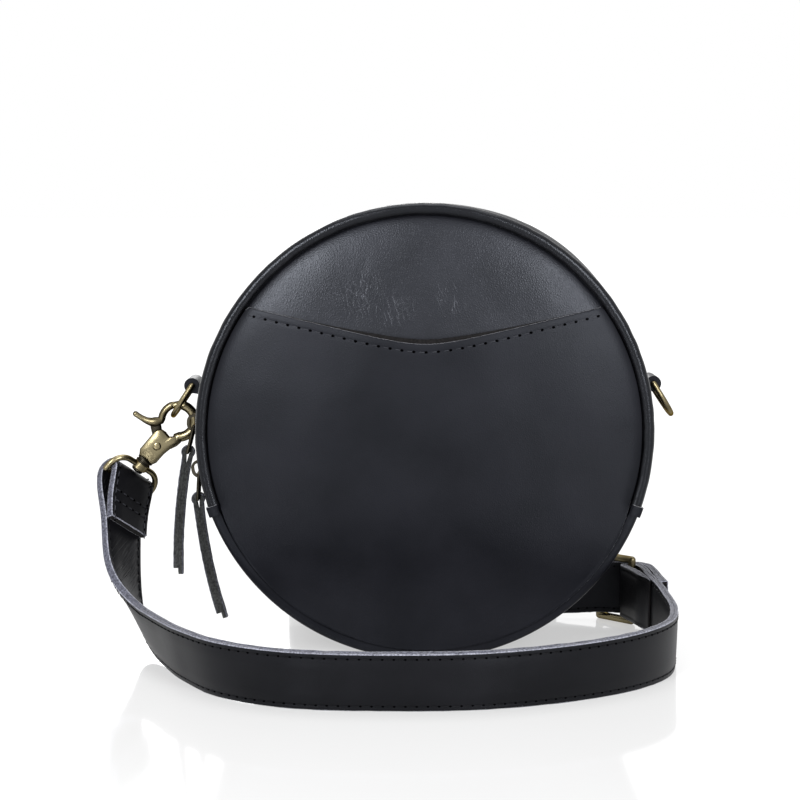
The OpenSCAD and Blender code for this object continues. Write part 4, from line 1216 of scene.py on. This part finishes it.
declare_strap(*first_strap, FRONT_ROUTE, "loose",
              [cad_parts["buckle_frame"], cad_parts["buckle_prong"]])
declare_strap(*second_strap, TIP_ROUTE, "coiled",
              [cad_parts["hook_rear_eye"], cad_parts["hook_rear_spring"]] + rear_hook)

# Solids whose shape is right keep it and get their finish
dress(BRASS, "d_ring_left", "d_ring_right", "hook_left_eye", "hook_rear_eye", "buckle_frame",
      "buckle_prong")
dress(DARK_BRASS, "slider_upper", "slider_lower", "link_upper", "link_lower",
      "hook_left_spring", "hook_rear_spring")
dress(BODY_LEATHER, "zip_end_tab_left", "zip_end_tab_right", "ring_tab_left", "ring_tab_right")
dress(TAPE, "zip_tape_front", "zip_tape_back")
dress(LINING, "front_piping_cord", "back_piping_cord", "bottom_lining", "zip_lining_front",
      "zip_lining_back", "front_lining", "back_lining")


# Stitches along both edges of the ring tabs' sewn tails
TAB_HALF_ROW = 7.6
TAB_STITCH_R = GUSSET_OUT_R + 3.3
TAB_FIRST_TURN = 3.6
TAB_TURN = 2.3


def tab_stitches(name, x, z, side):
    start = degrees(atan2(z - CENTRE_H, x))
    turned = [start + side * (TAB_FIRST_TURN + TAB_TURN * i) for i in range(4)]
    places = [stitch_place(angle, TAB_STITCH_R, RING_Y + edge)
              for angle in turned for edge in (-TAB_HALF_ROW, TAB_HALF_ROW)]
    stitches(name, places, PALE_THREAD, 2.8, 0.33)


tab_stitches("left_tab_stitches", -107.5, 117.0, 1)
tab_stitches("right_tab_stitches", 106.5, 118.0, -1)


# Stage: a pale floor that fades into the white background, and soft studio light
FLOOR_SIZE = 24.0
FLOOR_BACK = 8.0
FLOOR_COLOR = (0.4, 0.4, 0.4, 1.0)
FLOOR_ROUGHNESS = 0.08
FLOOR_GLOW = 0.5
WORLD_LIGHT = 0.3
LIGHTS_AIM = Vector((0, 0, 0.1))


def seen_rays(tree):
    """One for the rays that show the background: camera, mirror and see-through ones."""
    path = tree.nodes.new("ShaderNodeLightPath")
    shown = path.outputs["Is Camera Ray"]
    for kind in ("Is Glossy Ray", "Is Transmission Ray"):
        shown = math_node(tree, "MAXIMUM", shown, path.outputs[kind])
    return shown


def make_floor():
    bpy.ops.mesh.primitive_plane_add(size=FLOOR_SIZE, location=(0, FLOOR_BACK, 0))
    floor = bpy.context.object
    floor.name = "floor"
    material, tree, shader = node_material("floor")
    fill(tree, shader, {"Base Color": FLOOR_COLOR, "Roughness": FLOOR_ROUGHNESS})
    glow = add_node(tree, "ShaderNodeEmission",
                    Strength=range_node(tree, seen_rays(tree), 0.0, FLOOR_GLOW))
    both = tree.nodes.new("ShaderNodeAddShader")
    tree.links.new(shader.outputs["BSDF"], both.inputs[0])
    tree.links.new(glow.outputs["Emission"], both.inputs[1])
    tree.links.new(both.outputs["Shader"], tree.nodes["Material Output"].inputs["Surface"])
    floor.data.materials.append(material)


def make_world():
    world = bpy.data.worlds.new("studio")
    bpy.context.scene.world = world
    world.use_nodes = True
    tree = world.node_tree
    fill(tree, tree.nodes["Background"], {
        "Color": (*WHITE, 1.0),
        "Strength": range_node(tree, seen_rays(tree), WORLD_LIGHT, 1.0)})


def add_light(name, place, width, height, power):
    data = bpy.data.lights.new(name, "AREA")
    data.shape = "RECTANGLE"
    data.energy = power
    data.size = width
    data.size_y = height
    light = bpy.data.objects.new(name, data)
    light.location = place
    light.rotation_euler = (LIGHTS_AIM - Vector(place)).to_track_quat("-Z", "Y").to_euler()
    bpy.context.scene.collection.objects.link(light)


make_floor()
make_world()
add_light("left_box", (-0.58, -1.12, 0.62), 0.3, 0.7, 15.0)
add_light("right_box", (0.62, -1.12, 0.5), 0.3, 0.7, 11.0)
add_light("top_box", (0.0, 0.1, 1.5), 1.0, 1.0, 9.0)
add_light("back_box", (-0.3, 1.3, 0.65), 0.7, 0.7, 5.0)

bpy.context.scene.view_settings.view_transform = "Standard"
